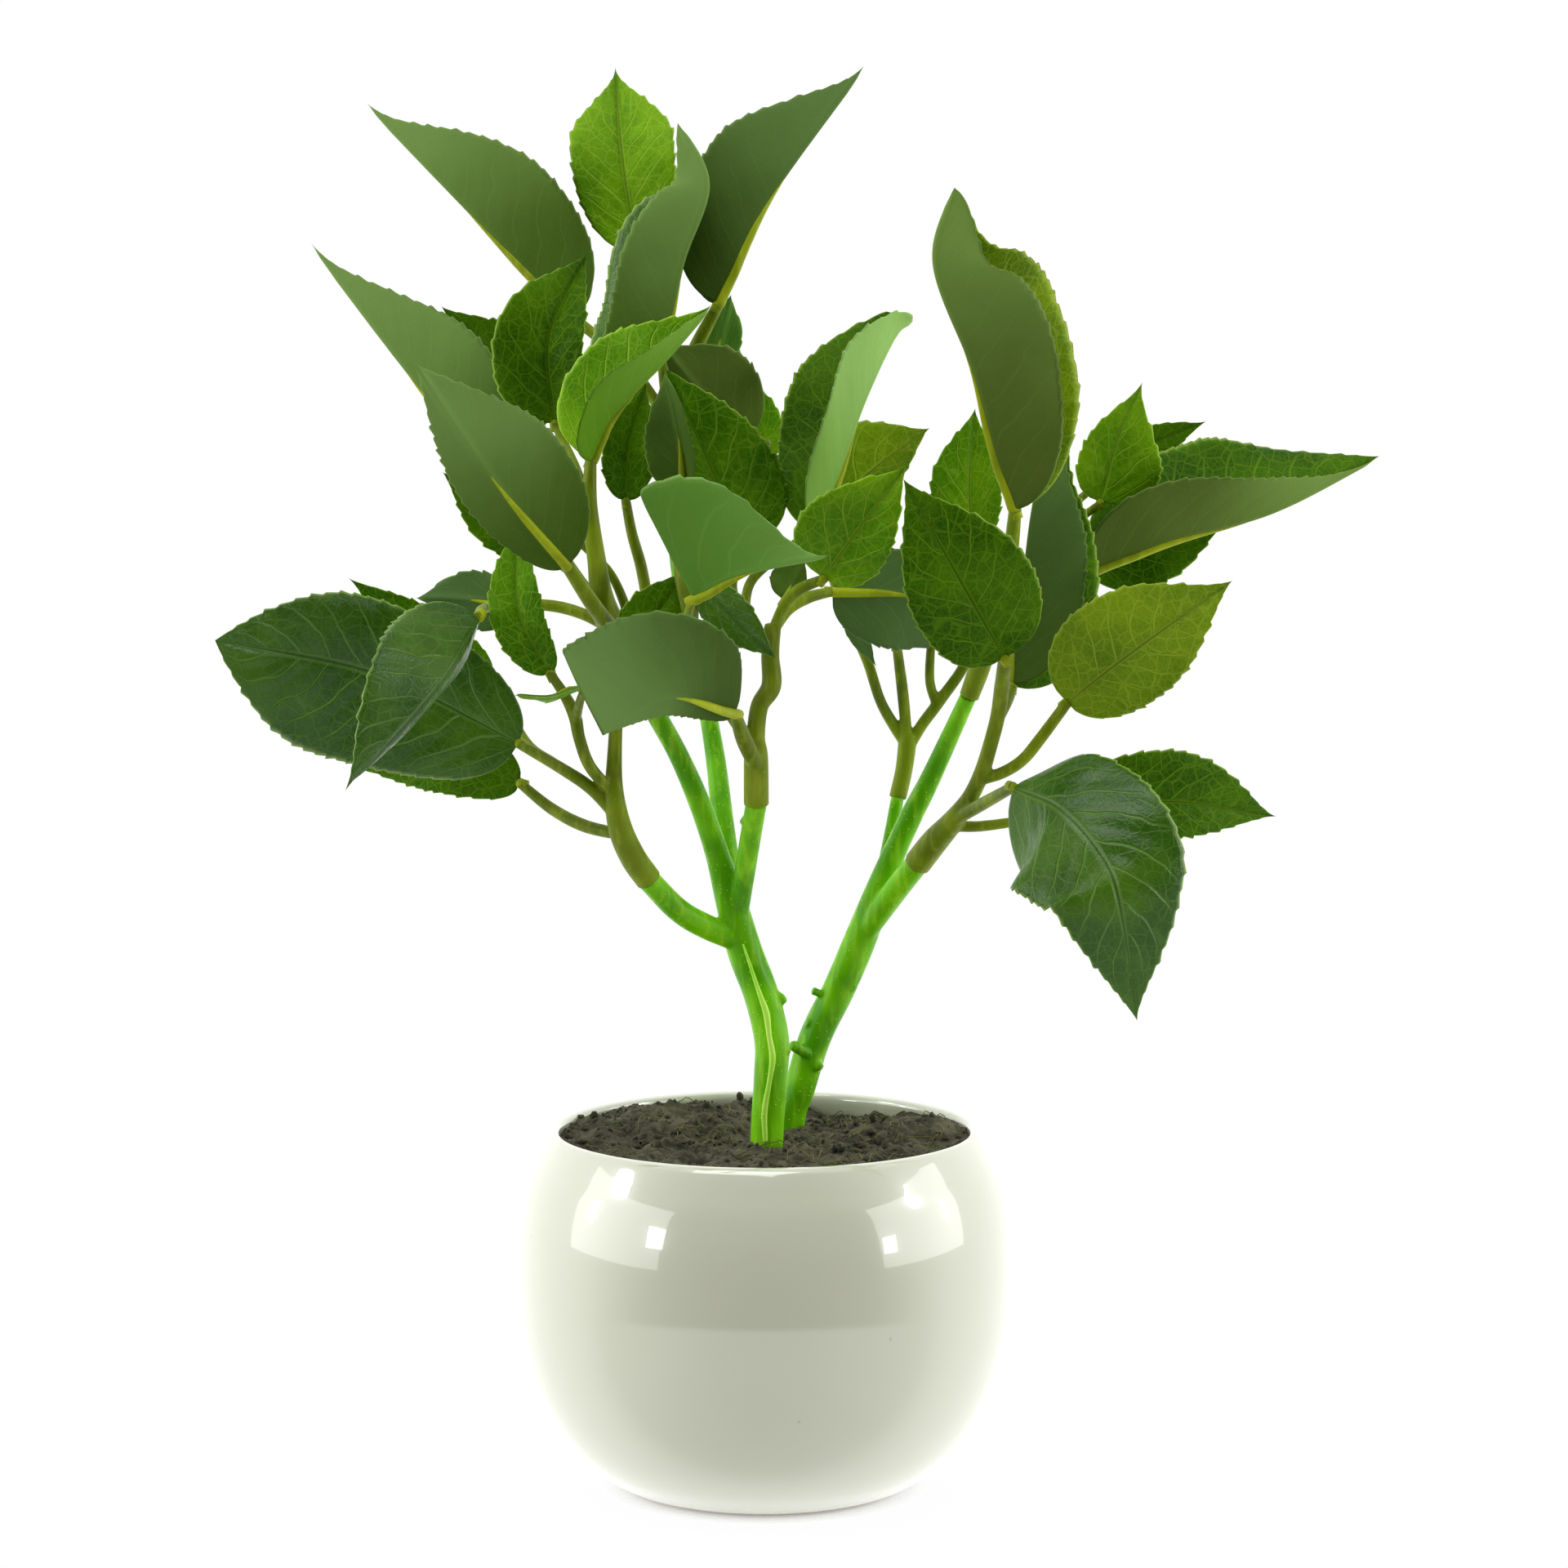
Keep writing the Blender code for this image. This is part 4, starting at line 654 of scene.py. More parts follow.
LEAVES = {
    # name: midrib, half widths, leans (then those at the base, if they differ), (widest, taper)
    # of both halves or of each, curl, the face that shows, upper skin, lower skin, slot
    "leaf_top_left": (
        [(-39, 20, 235.5), (-59.3, 25, 256), (-81.3, 34, 278.4)],
        (17, 17), (-145, -8), (0.42, 2.0), 0, "under", "deep", "grey", "leaf_grey",
    ),
    "leaf_top_mid": (
        [(-26.5, 27, 248.5), (-29.3, 30, 267), (-31, 38, 285.7)],
        (11, 11.5), (20, 20), (0.5, 2), -14, "upper", "lime", "pale", "leaf_lime",
    ),
    "leaf_top_curl": (
        [(-31, 6, 215), (-21, 7, 231), (-16.8, 9, 247), (-12, 11, 262), (-17.8, 14, 274)],
        (12.5, 17.5), (-4, -148), (0.45, 1), 0, "under", "blue", "grey", "leaf_mid",
    ),
    "leaf_top_dark": (
        [(-42, 2, 215), (-43, 0, 232), (-35.5, 4, 248.5)],
        (11, 8), (15, 32), (0.4, 1.5), -18, "upper", "deep", "grey", "leaf_dark",
    ),
    "leaf_top_right": (
        [(-10, 12, 238), (-0.5, 15, 258), (19.5, 26, 285.8)],
        (16, 15.5), (-10, -142), (0.45, 2.0), 0, "under", "deep", "dark", "leaf_grey",
    ),
    "leaf_top_bud": (
        [(-11, 18, 225), (-9, 18, 233), (-7.3, 18, 240)],
        (4.5, 4.5), (-10, -10), (0.4, 1.5), 0, "under", "mid", "pale", "leaf_mid",
    ),
    "leaf_left_long": (
        [(-50, 8, 200), (-68.5, 12, 221), (-92, 24, 250.4)],
        (15, 15.5), (-145, -12), (0.4, 2.2), 0, "under", "deep", "grey", "leaf_grey",
    ),
    "leaf_left_tuck": (
        [(-47, 23.5, 212), (-54, 26, 226), (-66, 27, 237.5)],
        (7.5, 8), (20, 10), (0.4, 1.5), -10, "upper", "deep", "grey", "leaf_dark",
    ),
    "leaf_left_broad": (
        [(-38.9, -16, 187.8), (-52.6, -26, 205.4), (-67.2, -38, 228.8)],
        (7.5, 14.5), (-15, -15), (0.4, 1.5), 14, "under", "deep", "grey", "leaf_grey",
    ),
    "leaf_left_dark": (
        [(-44, -6, 190), (-54, -8, 198), (-63.5, -10, 206)],
        (6, 6), (10, 10), (0.4, 1.5), 0, "upper", "deep", "grey", "leaf_dark",
    ),
    "leaf_left_inner": (
        [(-37, -3.5, 192), (-38.5, -4, 197), (-38, -4, 202.5)],
        (4.5, 4), (-10, -10), (0.4, 1.5), 0, "upper", "mid", "grey", "leaf_mid",
    ),
    "leaf_mid_bright": (
        [(-34.5, -8, 208), (-30.5, -9, 217), (-20, -11, 228), (-10.8, -12, 238.6)],
        (11, 12.5), (58, -165), (0.4, 1.5), 0, "under", "lime", "fresh", "leaf_lime",
    ),
    "leaf_mid_narrow": (
        [(-28, 4, 199.5), (-27.5, 5, 210), (-24, 6, 223)],
        (5.5, 5.5), (30, 15), (0.4, 1.5), -20, "upper", "deep", "grey", "leaf_dark",
    ),
    "leaf_mid_fold": (
        [(-16, -4, 201), (-17, -5.5, 212), (-20, -5, 226)],
        (7.5, 5), (-8, 65), (0.4, 1.5), 0, "under", "lime", "grey", "leaf_grey",
    ),
    "leaf_heart_dark": (
        [(-4.5, 0, 190), (-11.5, -1, 207), (-20, -2, 226)],
        (5, 13), (10, 10), (0.32, 1.2), -16, "upper", "mid", "grey", "leaf_dark",
    ),
    "leaf_heart_grey": (
        [(-3.5, 10, 211.6), (-12, 9, 219.5), (-20.5, 8, 229.5)],
        (4, 11.5), (-10, -15), (0.5, 1), 10, "under", "deep", "brown", "leaf_grey",
    ),
    "leaf_heart_lime": (
        [(-2, 16, 206), (-2, 17, 215), (-4, 18, 224)],
        (5, 5), (0, 0), (0.4, 1.5), 0, "upper", "lime", "pale", "leaf_lime",
    ),
    "leaf_heart_low": (
        [(-12.8, -14, 184), (-6, -15.5, 177), (1.8, -17, 170)],
        (4.5, 4.5), (10, 10), (0.4, 1.5), 0, "upper", "blue", "grey", "leaf_dark",
    ),
    "leaf_behind_low": (
        [(-28, -11.7, 171), (-21, -11.5, 179), (-15.5, -10, 187)],
        (6, 5.5), (5, 5), (0.4, 1.5), 0, "upper", "deep", "grey", "leaf_dark",
    ),
    "leaf_front_pale": (
        [(-14.2, -22, 182), (-4, -24.5, 187.4), (12.2, -27, 191)],
        (23.5, 8), (0, -115), (0.15, 2.4, 0.4, 1.5), 0, "under", "deep", "pale", "leaf_mid",
    ),
    "leaf_front_low": (
        [(-6.2, -18, 159.3), (-19.1, -32, 163.7), (-31.1, -45, 157.9)],
        (3.5, 17.5), (-5, -5), (0.4, 1.5, 0.92, 0.3), 8, "under", "deep", "dark", "leaf_grey",
    ),
    "leaf_tall_hook": (
        [(9, -2, 194), (14, 0, 205.5), (18.8, 4, 219), (25.2, 9, 232.2), (29, 12, 234.8)],
        (14, 15), (57, -165), (0.55, 1.1), 0, "under", "deep", "sage", "leaf_dark",
    ),
    "leaf_center_lime": (
        [(11, -14, 185.5), (18.8, -16, 196.5), (27.2, -18, 207.8)],
        (11, 8), (15, 15), (0.32, 1.5), -14, "upper", "lime", "pale", "leaf_lime",
    ),
    "leaf_center_small": (
        [(3, -6.4, 180.8), (5, -5, 184), (7.5, -4, 188.5)],
        (4.5, 3), (0, 0), (0.4, 1.5), 0, "under", "mid", "grey", "leaf_grey",
    ),
    "leaf_back_olive": (
        [(11, 10, 196), (22, 12, 206), (32.5, 14, 213.5)],
        (12, 7), (-5, -15), (0.4, 1.5), -10, "upper", "olive", "brown", "leaf_mid",
    ),
    "leaf_back_lit": (
        [(41, 14, 190), (40.5, 15, 204), (41.6, 16, 217.4)],
        (8, 6.5), (5, 5), (0.4, 1.5), -10, "upper", "lime", "pale", "leaf_lime",
    ),
    "leaf_right_under": (
        [(12.8, -6.2, 182.2), (29, -5, 181), (47, -3, 173.5)],
        (9, 11), (-8, -8), (0.4, 1.5), 8, "under", "deep", "blue", "leaf_grey",
    ),
    "leaf_right_inner": (
        [(25.8, 8.2, 170.6), (28.5, 8, 180), (32, 9, 189)],
        (6, 6), (10, 10), (0.4, 1.5), 0, "upper", "deep", "grey", "leaf_dark",
    ),
    "leaf_right_hidden": (
        [(33, 12, 172), (35, 14, 182), (36, 15, 194)],
        (3.5, 3), (10, 10), (0.4, 1.5), 0, "upper", "deep", "grey", "leaf_dark",
    ),
    "leaf_right_strip": (
        [(15.4, 7.6, 178.8), (18.5, 6, 172), (21.8, 5, 166.3)],
        (2.2, 2.2), (10, 10), (0.4, 1.5), 0, "under", "deep", "blue", "leaf_grey",
    ),
    "leaf_right_broad": (
        [(46.3, -16, 170), (37.2, -21, 186), (26.3, -22, 205.4)],
        (11.5, 13.5), (12, 12), (0.4, 1.5), -16, "upper", "deep", "grey", "leaf_dark",
    ),
    "leaf_right_tall": (
        [(48.6, -10, 198.4), (44.7, -10, 210.5), (40.4, -11, 226), (32.6, -17, 246.5), (36, -22, 261.2)],
        (20.5, 17.5), (-172, 20), (0.5, 1.1, 0.5, 0.7), 0, "under", "olive", "brown", "leaf_grey",
    ),
    "leaf_right_fold": (
        [(48.3, -6, 163.5), (51, 0, 184), (54, 2, 203), (60.5, 3, 216)],
        (15.5, 14), (-170, 30), (0.4, 1.5), 0, "under", "deep", "dark", "leaf_dark",
    ),
    "leaf_right_yellow": (
        [(66.4, 9, 199), (69.5, 8, 211), (74.5, 7, 223)],
        (6.5, 10.5), (5, 5), (0.3, 1.8), -10, "upper", "lime", "pale", "leaf_lime",
    ),
    "leaf_right_sliver": (
        [(68, 22, 203), (78, 22, 210), (88.5, 22, 214.5)],
        (4, 4), (0, 0), (0.4, 1.5), 0, "upper", "deep", "grey", "leaf_dark",
    ),
    "leaf_far_long": (
        [(65, 8, 185.5), (80, 8, 191.5), (101, 12, 197), (123.5, 22, 207.5)],
        (13.5, 21.5), (30, -146), (0.24, 2.6, 0.42, 1.3), 0, "under", "deep", "brown", "leaf_dark",
    ),
    "leaf_far_dark": (
        [(64, 16, 186), (78, 16, 189.5), (93, 16, 195.5)],
        (4, 7.5), (0, 10), (0.4, 1.5), 0, "upper", "deep", "grey", "leaf_dark",
    ),
    "leaf_far_yellow": (
        [(59, -9, 160.6), (72, -15, 171.5), (90, -24, 185.8)],
        (13.5, 10), (12, 12), (0.4, 1.5), -12, "upper", "olive", "pale", "leaf_lime",
    ),
    "leaf_droop_front": (
        [(48, -20, 145), (56.8, -28, 141.6), (64.8, -35, 132.6), (68, -39, 123.6), (71.5, -40, 101.5)],
        (15.5, 18), (-8, -5, -50, -5), (0.4, 1.5, 0.16, 1.15), -8, "upper", "blue", "grey", "leaf_dark",
    ),
    "leaf_droop_rear": (
        [(60, -4, 138), (80, -2, 140), (102, 6, 136)],
        (10.5, 7.5), (8, 8), (0.4, 1.5), -10, "upper", "deep", "grey", "leaf_mid",
    ),
    "leaf_left_big": (
        [(-48.9, -9.2, 152.6), (-76.8, -11.5, 166.6), (-106.8, -24, 174.2)],
        (18.5, 14), (5, 3), (0.55, 1), -12, "upper", "blue", "grey", "leaf_dark",
    ),
    "leaf_left_over": (
        [(-56.2, -15, 177.9), (-63, -25, 166), (-81, -36, 146.2)],
        (4.5, 14.5), (-75, 8), (0.4, 1.5), 0, "upper", "blue", "fresh", "leaf_grey",
    ),
    "leaf_left_low": (
        [(-49, -4, 144), (-66, -1, 148.5), (-88, 6, 148.5)],
        (6.5, 8), (5, 5), (0.4, 1.5), -10, "upper", "deep", "grey", "leaf_dark",
    ),
    "leaf_left_sliver": (
        [(-55, 2, 165), (-68, 2, 174), (-83, 0, 184.5)],
        (6, 4.5), (-5, -5), (0.4, 1.5), 0, "upper", "mid", "grey", "leaf_mid",
    ),
    "leaf_left_thin": (
        [(-36.6, -22, 164.4), (-42, -24, 163), (-49, -26, 163.5)],
        (5, 5), (-80, 75), (0.4, 1.5), 0, "upper", "lime", "grey", "leaf_mid",
    ),
    "leaf_left_rear": (
        [(-50, 4, 178.2), (-61, 5, 180), (-70, 6, 180)],
        (6, 6), (-8, -8), (0.4, 1.5), 0, "under", "deep", "blue", "leaf_grey",
    ),
    "leaf_hang_small": (
        [(-42.4, -14, 166.8), (-48.4, -13, 178.5), (-49.3, -9.5, 194.5)],
        (5.8, 4.8), (5, 20), (0.45, 1), -10, "upper", "mid", "blue", "leaf_mid",
    ),
}
ROW_STEP = 0.42
MIDDLE = 22
COLUMNS = 2 * MIDDLE + 1
LOOP = 2 * (COLUMNS - 1)
FULL_CHART = 45.0
SIDE_VEINS = 8.0
VEIN_SWEEP = 0.26
VEIN_WANDER = 0.12
PLEATS = {"upper": 0.26, "under": 0.07}
GROOVE_DEPTH = 0.38
GROOVE_WIDTH = 0.7
TOOTH_LENGTH = 2.9
TOOTH_DEPTH = 0.75
CLOTH = 0.42
RIB_SHARE = 0.5
RIB_RADII = (1.05, 0.8, 0.1)
RIB_ROOT = 1.6


def step_up(value, low, high):
    """0 below low, 1 above high, and the cubic 3s^2 - 2s^3 between."""
    s = np.clip((value - low) / (high - low), 0.0, 1.0)
    return s * s * (3 - 2 * s)


def half_width(u, widest, taper):
    """Share of the full half width at u: round from the base to `widest`, then a tapering tip."""
    base = (1 - np.clip(1 - u / widest, 0, 1) ** 2.3) ** 0.45
    tip = (1 - np.clip((u - widest) / (1 - widest), 0, 1) ** 2) ** taper
    return np.where(u < widest, base, tip)


def midrib(spine):
    """The midrib's points, and at each its direction, the way the blade faces, and its right."""
    span = np.asarray(spine, float)
    length = np.linalg.norm(np.diff(span, axis=0), axis=1).sum()
    line = smooth_line(spread(span), int(length / ROW_STEP) + 16)
    ahead = np.gradient(line, axis=0)
    ahead /= np.linalg.norm(ahead, axis=1, keepdims=True)
    facing = np.array([0.0, -1.0, 0.0]) - ahead * -ahead[:, 1:2]
    facing /= np.linalg.norm(facing, axis=1, keepdims=True)
    return line, ahead, facing, np.cross(ahead, facing)


def headings(u, v, across, width, leans, curl, phase):
    """Direction of each cross-section, in radians from the blade's right towards its front.

    It turns smoothly from the left lean to the right lean over the fold, and by `curl` more
    degrees towards the front at the margins, where a ruffle runs along. Of four leans, the last
    two hold at the base and give way to the first two.
    """
    narrow = np.minimum(width[:, :1], width[:, -1:])
    fold = np.minimum(1.1, 0.3 * narrow) + 1e-3
    base = np.clip(1 - u / 0.45, 0, 1) ** 1.5
    left, right = (np.radians(leans[k] + (leans[k - 2] - leans[k]) * base) for k in (0, 1))
    turned = step_up(across, -fold, fold)
    bow = np.radians(curl) * v * np.abs(v)
    ruffle = 0.16 * np.sin(2 * np.pi * (2.1 * u + phase + 0.25 * (v > 0))) * v * np.abs(v)
    return -left * (1 - turned) + right * turned + bow + ruffle


def from_midrib(steps):
    """Steps across the blade added up, counted from the midrib's column."""
    reached = np.pad(np.cumsum(steps, axis=1), ((0, 0), (1, 0)))
    return reached - reached[:, MIDDLE : MIDDLE + 1]


def teeth(u, v, width, length, body, phase, turn):
    """How far the margin reaches out: a saw of rounded teeth, uneven in pitch and in size."""
    count = max(round(length / TOOTH_LENGTH), 3)
    beat = u * count + 0.3 * np.sin(2 * np.pi * (1.7 * u + phase)) + 0.4 * (v > 0)
    part = beat - np.floor(beat)
    size = 0.75 + 0.45 * np.sin(2.4 * np.floor(beat) + 7 * turn)
    saw = part**1.3 * (1 - step_up(part, 0.8, 1.0)) - 0.25
    return TOOTH_DEPTH * size * saw * np.abs(v) ** 9 * body * np.minimum(1, width / 5)


def pressed(chart_u, edge, across, width, body, front):
    """Height of the pleats between the side veins, less a bell-shaped groove over the midrib."""
    swell = np.abs(np.sin(np.pi * SIDE_VEINS * (chart_u - VEIN_SWEEP * edge))) ** 0.7
    pleat = PLEATS[front] * (swell - 0.6) * np.sqrt(np.clip(4 * edge * (1 - edge), 0, 1))
    groove = GROOVE_DEPTH * np.exp(-((across / GROOVE_WIDTH) ** 2))
    return (pleat * np.minimum(1, width / 9) - groove) * body


def blade(name, spine, widths, leans, outline, curl, front, upper, lower):
    """A cloth blade folded along its midrib, with teeth, pleats and a rib, as one piece.

    Each cross-section is drawn from the midrib outwards along its headings, then lengthened by
    the teeth and pressed along its normal. Half the cloth's thickness on either side closes it
    into a body. The chart runs along the midrib in x and across the blade in y.
    """
    line, ahead, facing, right = midrib(spine)
    length = np.linalg.norm(np.diff(line, axis=0), axis=1).sum()
    u = np.linspace(0, 1, len(line))[:, None]
    shares = [half_width(u, *outline[:2]), half_width(u, *outline[-2:])]
    quirk = np.random.default_rng(int(abs(np.sum(spine) * 10)))
    p, q, r = quirk.uniform(0, 1, 3)

    even = np.linspace(-1, 1, COLUMNS)[None]
    v = even * (0.35 + 0.65 * np.abs(even))
    edge = np.abs(v)
    width = np.where(v < 0, widths[0] * shares[0], widths[1] * shares[1])
    across = v * width
    heading = headings(u, v, across, width, leans, curl, p)
    middle = (heading[:, 1:] + heading[:, :-1]) / 2
    run = np.diff(across, axis=1)
    body = step_up(u, 0.03, 0.14) * (1 - step_up(u, 0.93, 1.0))
    tooth = teeth(u, v, width, length, body, q, r)
    sideways = from_midrib(run * np.cos(middle)) + np.sign(v) * tooth * np.cos(heading)
    outward = from_midrib(run * np.sin(middle)) + np.sign(v) * tooth * np.sin(heading)
    sheet = line[:, None] + right[:, None] * sideways[..., None]
    sheet = sheet + facing[:, None] * outward[..., None] + ahead[:, None] * (0.5 * tooth)[..., None]

    normal = np.cross(np.gradient(sheet, axis=1), np.gradient(sheet, axis=0))
    normal /= np.linalg.norm(normal, axis=2, keepdims=True) + 1e-12
    chart_u = u * min(length / FULL_CHART, 1.15)
    lift = pressed(chart_u, edge, across, width, body, front)
    sheet = sheet + normal * (lift if front == "upper" else -lift)[..., None]
    half = CLOTH / 2 * (1 - edge**10) * np.minimum(1, 6 * np.maximum(*shares))
    face = sheet + normal * half[..., None]
    back = (sheet - normal * half[..., None])[:, -2:0:-1]
    loop = np.concatenate([face, back], axis=1).reshape(-1, 3)
    chart_v = np.concatenate([v, v[:, -2:0:-1]], axis=1) / 2 + 0.5
    chart = np.stack(np.broadcast_arrays(chart_u, chart_v), -1).reshape(-1, 2)
    quads = grid_quads(len(line), LOOP)
    skin_of = np.tile(np.arange(LOOP) >= COLUMNS - 1, len(line) - 1).astype(int)
    if front == "under":
        skin_of = 1 - skin_of

    reach = int(len(line) * RIB_SHARE)
    thick = np.interp(np.arange(reach + 1) / reach, [0, 0.5, 1], RIB_RADII) * min(1, length / 30)
    sunk = -thick[1:, None] if front == "upper" else 0.4 * thick[1:, None]
    rib_line = sheet[:reach, MIDDLE] + normal[:reach, MIDDLE] * sunk
    rib_line = np.vstack([rib_line[:1] - ahead[:1] * RIB_ROOT, rib_line])
    rib, rib_quads = swept(rib_line[None], thick[None], 10, facing.mean(axis=0))
    quads = np.vstack([quads, rib_quads + len(loop)])
    skin_of = np.concatenate([skin_of, np.full(len(rib_quads), 2)])
    chart = np.vstack([chart, np.tile([[0.0, 0.5]], (len(rib), 1))])
    skins = [upper, lower, rib_olive]
    make_piece(name, np.vstack([loop, rib]), quads, skins, [name], skin_of, chart)


def veins(tree):
    """Vein pattern of a blade's chart: midrib and side veins, and the net between them.

    Side veins are evenly spaced lines that wander a little and sweep forward to the margin.
    """
    chart = node(tree, "SeparateXYZ", {"Vector": node(tree, "TexCoord", {}, "UV")}, "X")
    chart_y = chart.node.outputs["Y"]
    place = node(tree, "TexCoord", {}, "Object")
    edge = sums(tree, "ABSOLUTE", sums(tree, "MULTIPLY_ADD", chart_y, 2.0, -1.0))
    drift = node(tree, "TexNoise", {"Vector": place, "Scale": 90.0, "Detail": 2.0})
    beat = sums(tree, "MULTIPLY_ADD", edge, -VEIN_SWEEP, chart)
    beat = sums(tree, "MULTIPLY_ADD", drift, VEIN_WANDER, beat)
    beat = sums(tree, "FRACT", sums(tree, "MULTIPLY", beat, SIDE_VEINS))
    near = sums(tree, "MULTIPLY", sums(tree, "ABSOLUTE", sums(tree, "SUBTRACT", beat, 0.5)), 2.0)
    fading = ease(tree, edge, 0.55, 1.0, 1.0, 0.15)
    side = sums(tree, "MULTIPLY", ease(tree, near, 0.86, 0.985), fading)
    rib = ease(tree, edge, 0.02, 0.07, 1.0, 0.0)
    warped = node(tree, "Mapping", {"Vector": place, "Scale": (1.0, 0.7, 1.0)})
    wide = node(tree, "TexVoronoi", {"Vector": warped, "Scale": 330.0}, feature="DISTANCE_TO_EDGE")
    fine = node(tree, "TexVoronoi", {"Vector": place, "Scale": 860.0}, feature="DISTANCE_TO_EDGE")
    wide = sums(tree, "MULTIPLY", ease(tree, wide, 0.01, 0.07, 1.0, 0.0), 0.55)
    fine = sums(tree, "MULTIPLY", ease(tree, fine, 0.02, 0.16, 1.0, 0.0), 0.25)
    net = sums(tree, "MAXIMUM", wide, fine)
    main = sums(tree, "MAXIMUM", side, rib)
    return place, chart, edge, main, net


def upper_face(name, flesh, flesh_light, vein, groove, margin, roughness, shine=0.1, net_share=0.6):
    """Printed upper face: two greens in clouds, pale veins, painted shade in the midrib groove and a cut
    edge.
    """
    skin, tree, shader = new_skin(name, Specular_IOR_Level=shine)
    place, chart, edge, main, net = veins(tree)
    cloud = node(tree, "TexNoise", {"Vector": place, "Scale": 55.0, "Detail": 3.0})
    tone = blend_of(tree, ease(tree, cloud, 0.36, 0.64), paint(flesh), paint(flesh_light))
    net_shown = sums(tree, "MULTIPLY", net, net_share)
    strong = sums(tree, "MAXIMUM", sums(tree, "MULTIPLY", main, 0.55), net_shown)
    tone = blend_of(tree, strong, tone, paint(vein))
    # Painted shade: the groove colour darkens the blade along the midrib, where shade falls in the
    # groove.
    tone = blend_of(tree, ease(tree, edge, 0.0, 0.035, 0.7, 0.0), tone, paint(groove))
    tone = blend_of(tree, ease(tree, edge, 0.955, 1.0, 0.0, 0.8), tone, paint(margin))
    weave = node(tree, "TexNoise", {"Vector": place, "Scale": 1500.0, "Detail": 1.0})
    relief = sums(tree, "MULTIPLY_ADD", main, -1.0, sums(tree, "MULTIPLY", net, -0.5))
    relief = sums(tree, "MULTIPLY_ADD", weave, 0.35, relief)
    gloss = sums(tree, "MULTIPLY_ADD", cloud, 0.24, roughness - 0.12)
    dress(tree, shader, tone, gloss, relief, 0.13)
    return skin


def lower_face(name, flesh, tip, vein, margin):
    """Unprinted lower face: matte, with painted shade at the base and painted light towards the tip,
    faint veins and the grain of the cloth.
    """
    skin, tree, shader = new_skin(name, Specular_IOR_Level=0.06)
    place, chart, edge, main, net = veins(tree)
    cloud = node(tree, "TexNoise", {"Vector": place, "Scale": 38.0, "Detail": 3.0})
    # Painted light and shade: darker flesh at the base, the paler tip colour towards the tip, stirred by
    # random clouds.
    paler = sums(tree, "MULTIPLY_ADD", cloud, 0.6, sums(tree, "SUBTRACT", chart, 0.3))
    tone = blend_of(tree, ease(tree, paler, 0.1, 0.95), paint(flesh), paint(tip))
    tone = blend_of(tree, sums(tree, "MULTIPLY", main, 0.13), tone, paint(vein))
    tone = blend_of(tree, sums(tree, "MULTIPLY", net, 0.06), tone, paint(vein))
    tone = blend_of(tree, ease(tree, edge, 0.965, 1.0, 0.0, 0.6), tone, paint(margin))
    weave = node(tree, "TexNoise", {"Vector": place, "Scale": 1700.0, "Detail": 1.0})
    relief = sums(tree, "MULTIPLY_ADD", weave, 0.5, sums(tree, "MULTIPLY", main, 0.2))
    dress(tree, shader, tone, sums(tree, "MULTIPLY_ADD", cloud, 0.16, 0.6), relief, 0.10)
    return skin


rib_olive = plastic("rib_olive", "809004", "9dab0f", "b8c42e", 0.1, 0.55)
# Upper faces: flesh, lighter flesh, vein, painted shade of the midrib groove, margin, roughness, shine,
# net share.
UPPER = {
    "deep": upper_face("upper_deep", "274f00", "406a00", "6e9614", "1c3a02", "9cbc4c", 0.5, 0.05),
    "blue": upper_face("upper_blue", "285004", "40680c", "6a9434", "16320a", "9cc05c", 0.3, 0.3, 0.35),
    "mid": upper_face("upper_mid", "356600", "4e8000", "88b02c", "2c5000", "a4c648", 0.5, 0.06),
    # Partly painted light: the olive and lime faces are partly the cloth's own lighter greens and partly
    # painted light, brighter and yellower as if shone through from behind.
    "olive": upper_face("upper_olive_backlit", "547800", "749400", "a6be34", "314e00", "acc04a", 0.46),
    "lime": upper_face("upper_lime_backlit", "4c8200", "6ea000", "a2c636", "3e6400", "acd050", 0.48, 0.08, 0.5),
}
# Lower faces: flesh with painted shade at the base, painted light towards the tip, vein, margin.
LOWER = {
    # Painted shade: a darker copy of the lower face, for the leaves that sit in shade.
    "dark": lower_face("lower_painted_shade", "3a5216", "58763a", "5c7a32", "86a659"),
    "grey": lower_face("lower_grey", "48641c", "6c8c46", "6f9040", "90ae60"),
    "brown": lower_face("lower_brown", "516624", "6a883d", "789341", "9cb766"),
    "blue": lower_face("lower_blue", "4e6c34", "648454", "789a66", "98b880"),
    "pale": lower_face("lower_pale", "58862e", "79a550", "86b454", "abd179"),
    "fresh": lower_face("lower_fresh", "609015", "7ead43", "8ebe4c", "ade16b"),
    "sage": lower_face("lower_sage", "7ca946", "92bd64", "9cc871", "bfe290"),
}
for name, (spine, widths, leans, outline, curl, front, upper, lower, slot) in LEAVES.items():
    blade(name, spine, widths, leans, outline, curl, front, UPPER[upper], LOWER[lower])

# ---------------------------------------------------------------- the studio
# A pale sheet that holds the pot's shadow and melts into a white surround. The surround is bright
# behind and below and dim in front, and lamps of several shapes at either side show in the glaze.
# A long lens looks from a metre in front.

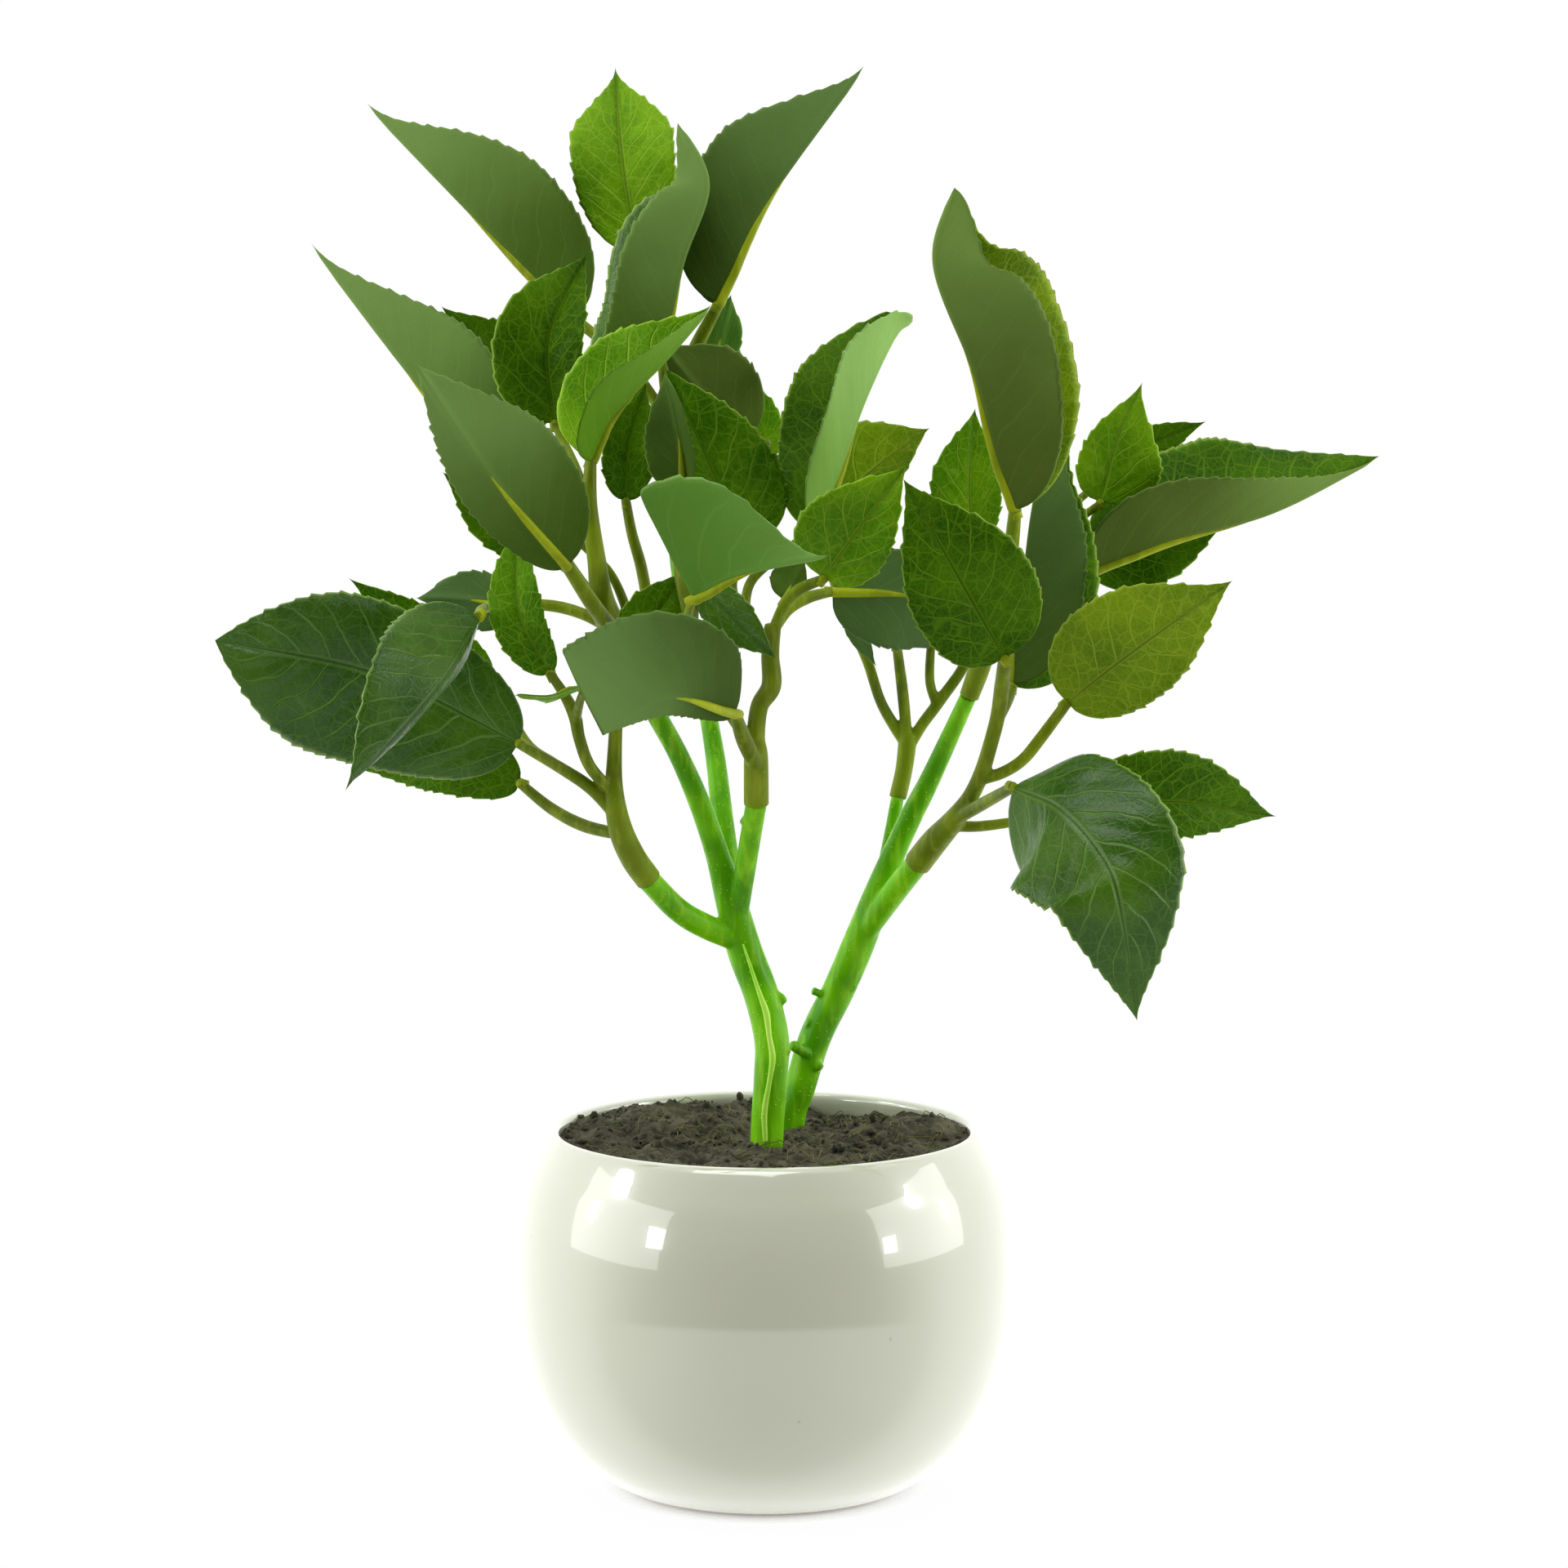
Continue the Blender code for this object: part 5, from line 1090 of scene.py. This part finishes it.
FLOOR_REACH = 0.17
DIM_FRONT = (0.08, 0.08, 0.07, 1.0)
BRIGHT_BACK = (1.33, 1.33, 1.32, 1.0)
TABLE_GLOW = (0.9, 0.9, 0.88, 1.0)
POT_AIM = (0.0, 0.0, 0.04)
CROWN_AIM = (0.0, 0.0, 0.15)
LAMPS = [
    # name, place, aim, width, height, watts, shape
    ("panel_left", (-1.22, -0.36, 0.37), POT_AIM, 1.27, 0.81, 5.0, "RECTANGLE"),
    ("panel_right", (1.24, -0.24, 0.37), POT_AIM, 1.2, 0.81, 5.0, "RECTANGLE"),
    ("bulb_left", (-0.86, -0.12, 0.6), POT_AIM, 0.18, 0.15, 0.9, "ELLIPSE"),
    ("bulb_right", (0.9, -0.17, 0.48), POT_AIM, 0.14, 0.22, 0.9, "ELLIPSE"),
    ("window_left", (-0.77, -0.63, 0.25), POT_AIM, 0.15, 0.17, 0.5, "RECTANGLE"),
    ("window_right", (0.86, -0.52, 0.17), POT_AIM, 0.12, 0.14, 0.4, "RECTANGLE"),
    ("slit_left", (-0.97, -0.03, 0.32), POT_AIM, 0.07, 0.2, 0.3, "RECTANGLE"),
    ("slit_right", (0.99, 0.08, 0.3), POT_AIM, 0.05, 0.2, 0.2, "RECTANGLE"),
    ("panel_top", (-0.2, -0.5, 1.4), CROWN_AIM, 0.9, 0.7, 6.5, "RECTANGLE"),
]
FOCAL_LENGTH = 116.2
SENSOR_WIDTH = 36.0
CAMERA_TILT = 83.35

floor_skin, tree, shader = new_skin("floor_white", Specular_IOR_Level=0.1)
place = node(tree, "TexCoord", {}, "Object")
haze = node(tree, "TexNoise", {"Vector": place, "Scale": 3.0, "Detail": 2.0})
tone = blend_of(tree, haze, paint("f4f4f2"), paint("f8f8f6"))
dress(tree, shader, tone, sums(tree, "MULTIPLY_ADD", haze, 0.1, 0.75), haze, 0.01)
near = node(tree, "VectorMath", {0: place}, "Value", operation="LENGTH")
under_pot = ease(tree, near, 0.13 * FLOOR_REACH, 0.2 * FLOOR_REACH, 1.0, 0.0)
round_pot = ease(tree, near, 0.3 * FLOOR_REACH, FLOOR_REACH, 0.03, 0.0)
cover = sums(tree, "MAXIMUM", under_pot, round_pot)
tree.links.new(cover, shader.inputs["Alpha"])
bpy.ops.mesh.primitive_plane_add(size=2.0, location=(0.0, 0.0, 0.0))
floor = bpy.context.object
floor.name = "floor"
floor.data.materials.append(floor_skin)

world = bpy.data.worlds.new("surround")
bpy.context.scene.world = world
world.use_nodes = True
tree = world.node_tree
backing = tree.nodes["Background"]
place = node(tree, "TexCoord", {}, "Generated")
depth = node(tree, "SeparateXYZ", {"Vector": place}, "Y")
rise = depth.node.outputs["Z"]
behind = ease(tree, depth, -0.75, 0.15)
room = blend_of(tree, behind, DIM_FRONT, BRIGHT_BACK)
table = ease(tree, rise, -0.29, -0.25, 1.0, 0.0)
room = blend_of(tree, table, room, TABLE_GLOW, "LIGHTEN")
seen = node(tree, "LightPath", {}, "Is Camera Ray")
tree.links.new(blend_of(tree, seen, room, (1.0, 1.0, 1.0, 1.0)), backing.inputs["Color"])


def soft_panel(name, place, aim, width, height, power, shape):
    """A flat lamp of that size in metres, turned to face the aim point."""
    lamp = bpy.data.lights.new(name, "AREA")
    lamp.shape = shape
    lamp.size = width
    lamp.size_y = height
    lamp.energy = power
    obj = bpy.data.objects.new(name, lamp)
    bpy.context.scene.collection.objects.link(obj)
    obj.location = place
    obj.rotation_euler = (Vector(aim) - Vector(place)).to_track_quat("-Z", "Y").to_euler()


for lamp in LAMPS:
    soft_panel(*lamp)

lens = bpy.data.cameras.new("camera")
lens.lens = FOCAL_LENGTH
lens.sensor_width = SENSOR_WIDTH
camera = bpy.data.objects.new("camera", lens)
bpy.context.scene.collection.objects.link(camera)
camera.location = (EYE + CROWN_SETTLE) * MM
camera.rotation_euler = (np.radians(CAMERA_TILT), 0.0, 0.0)
bpy.context.scene.camera = camera
bpy.context.scene.view_settings.view_transform = "Standard"
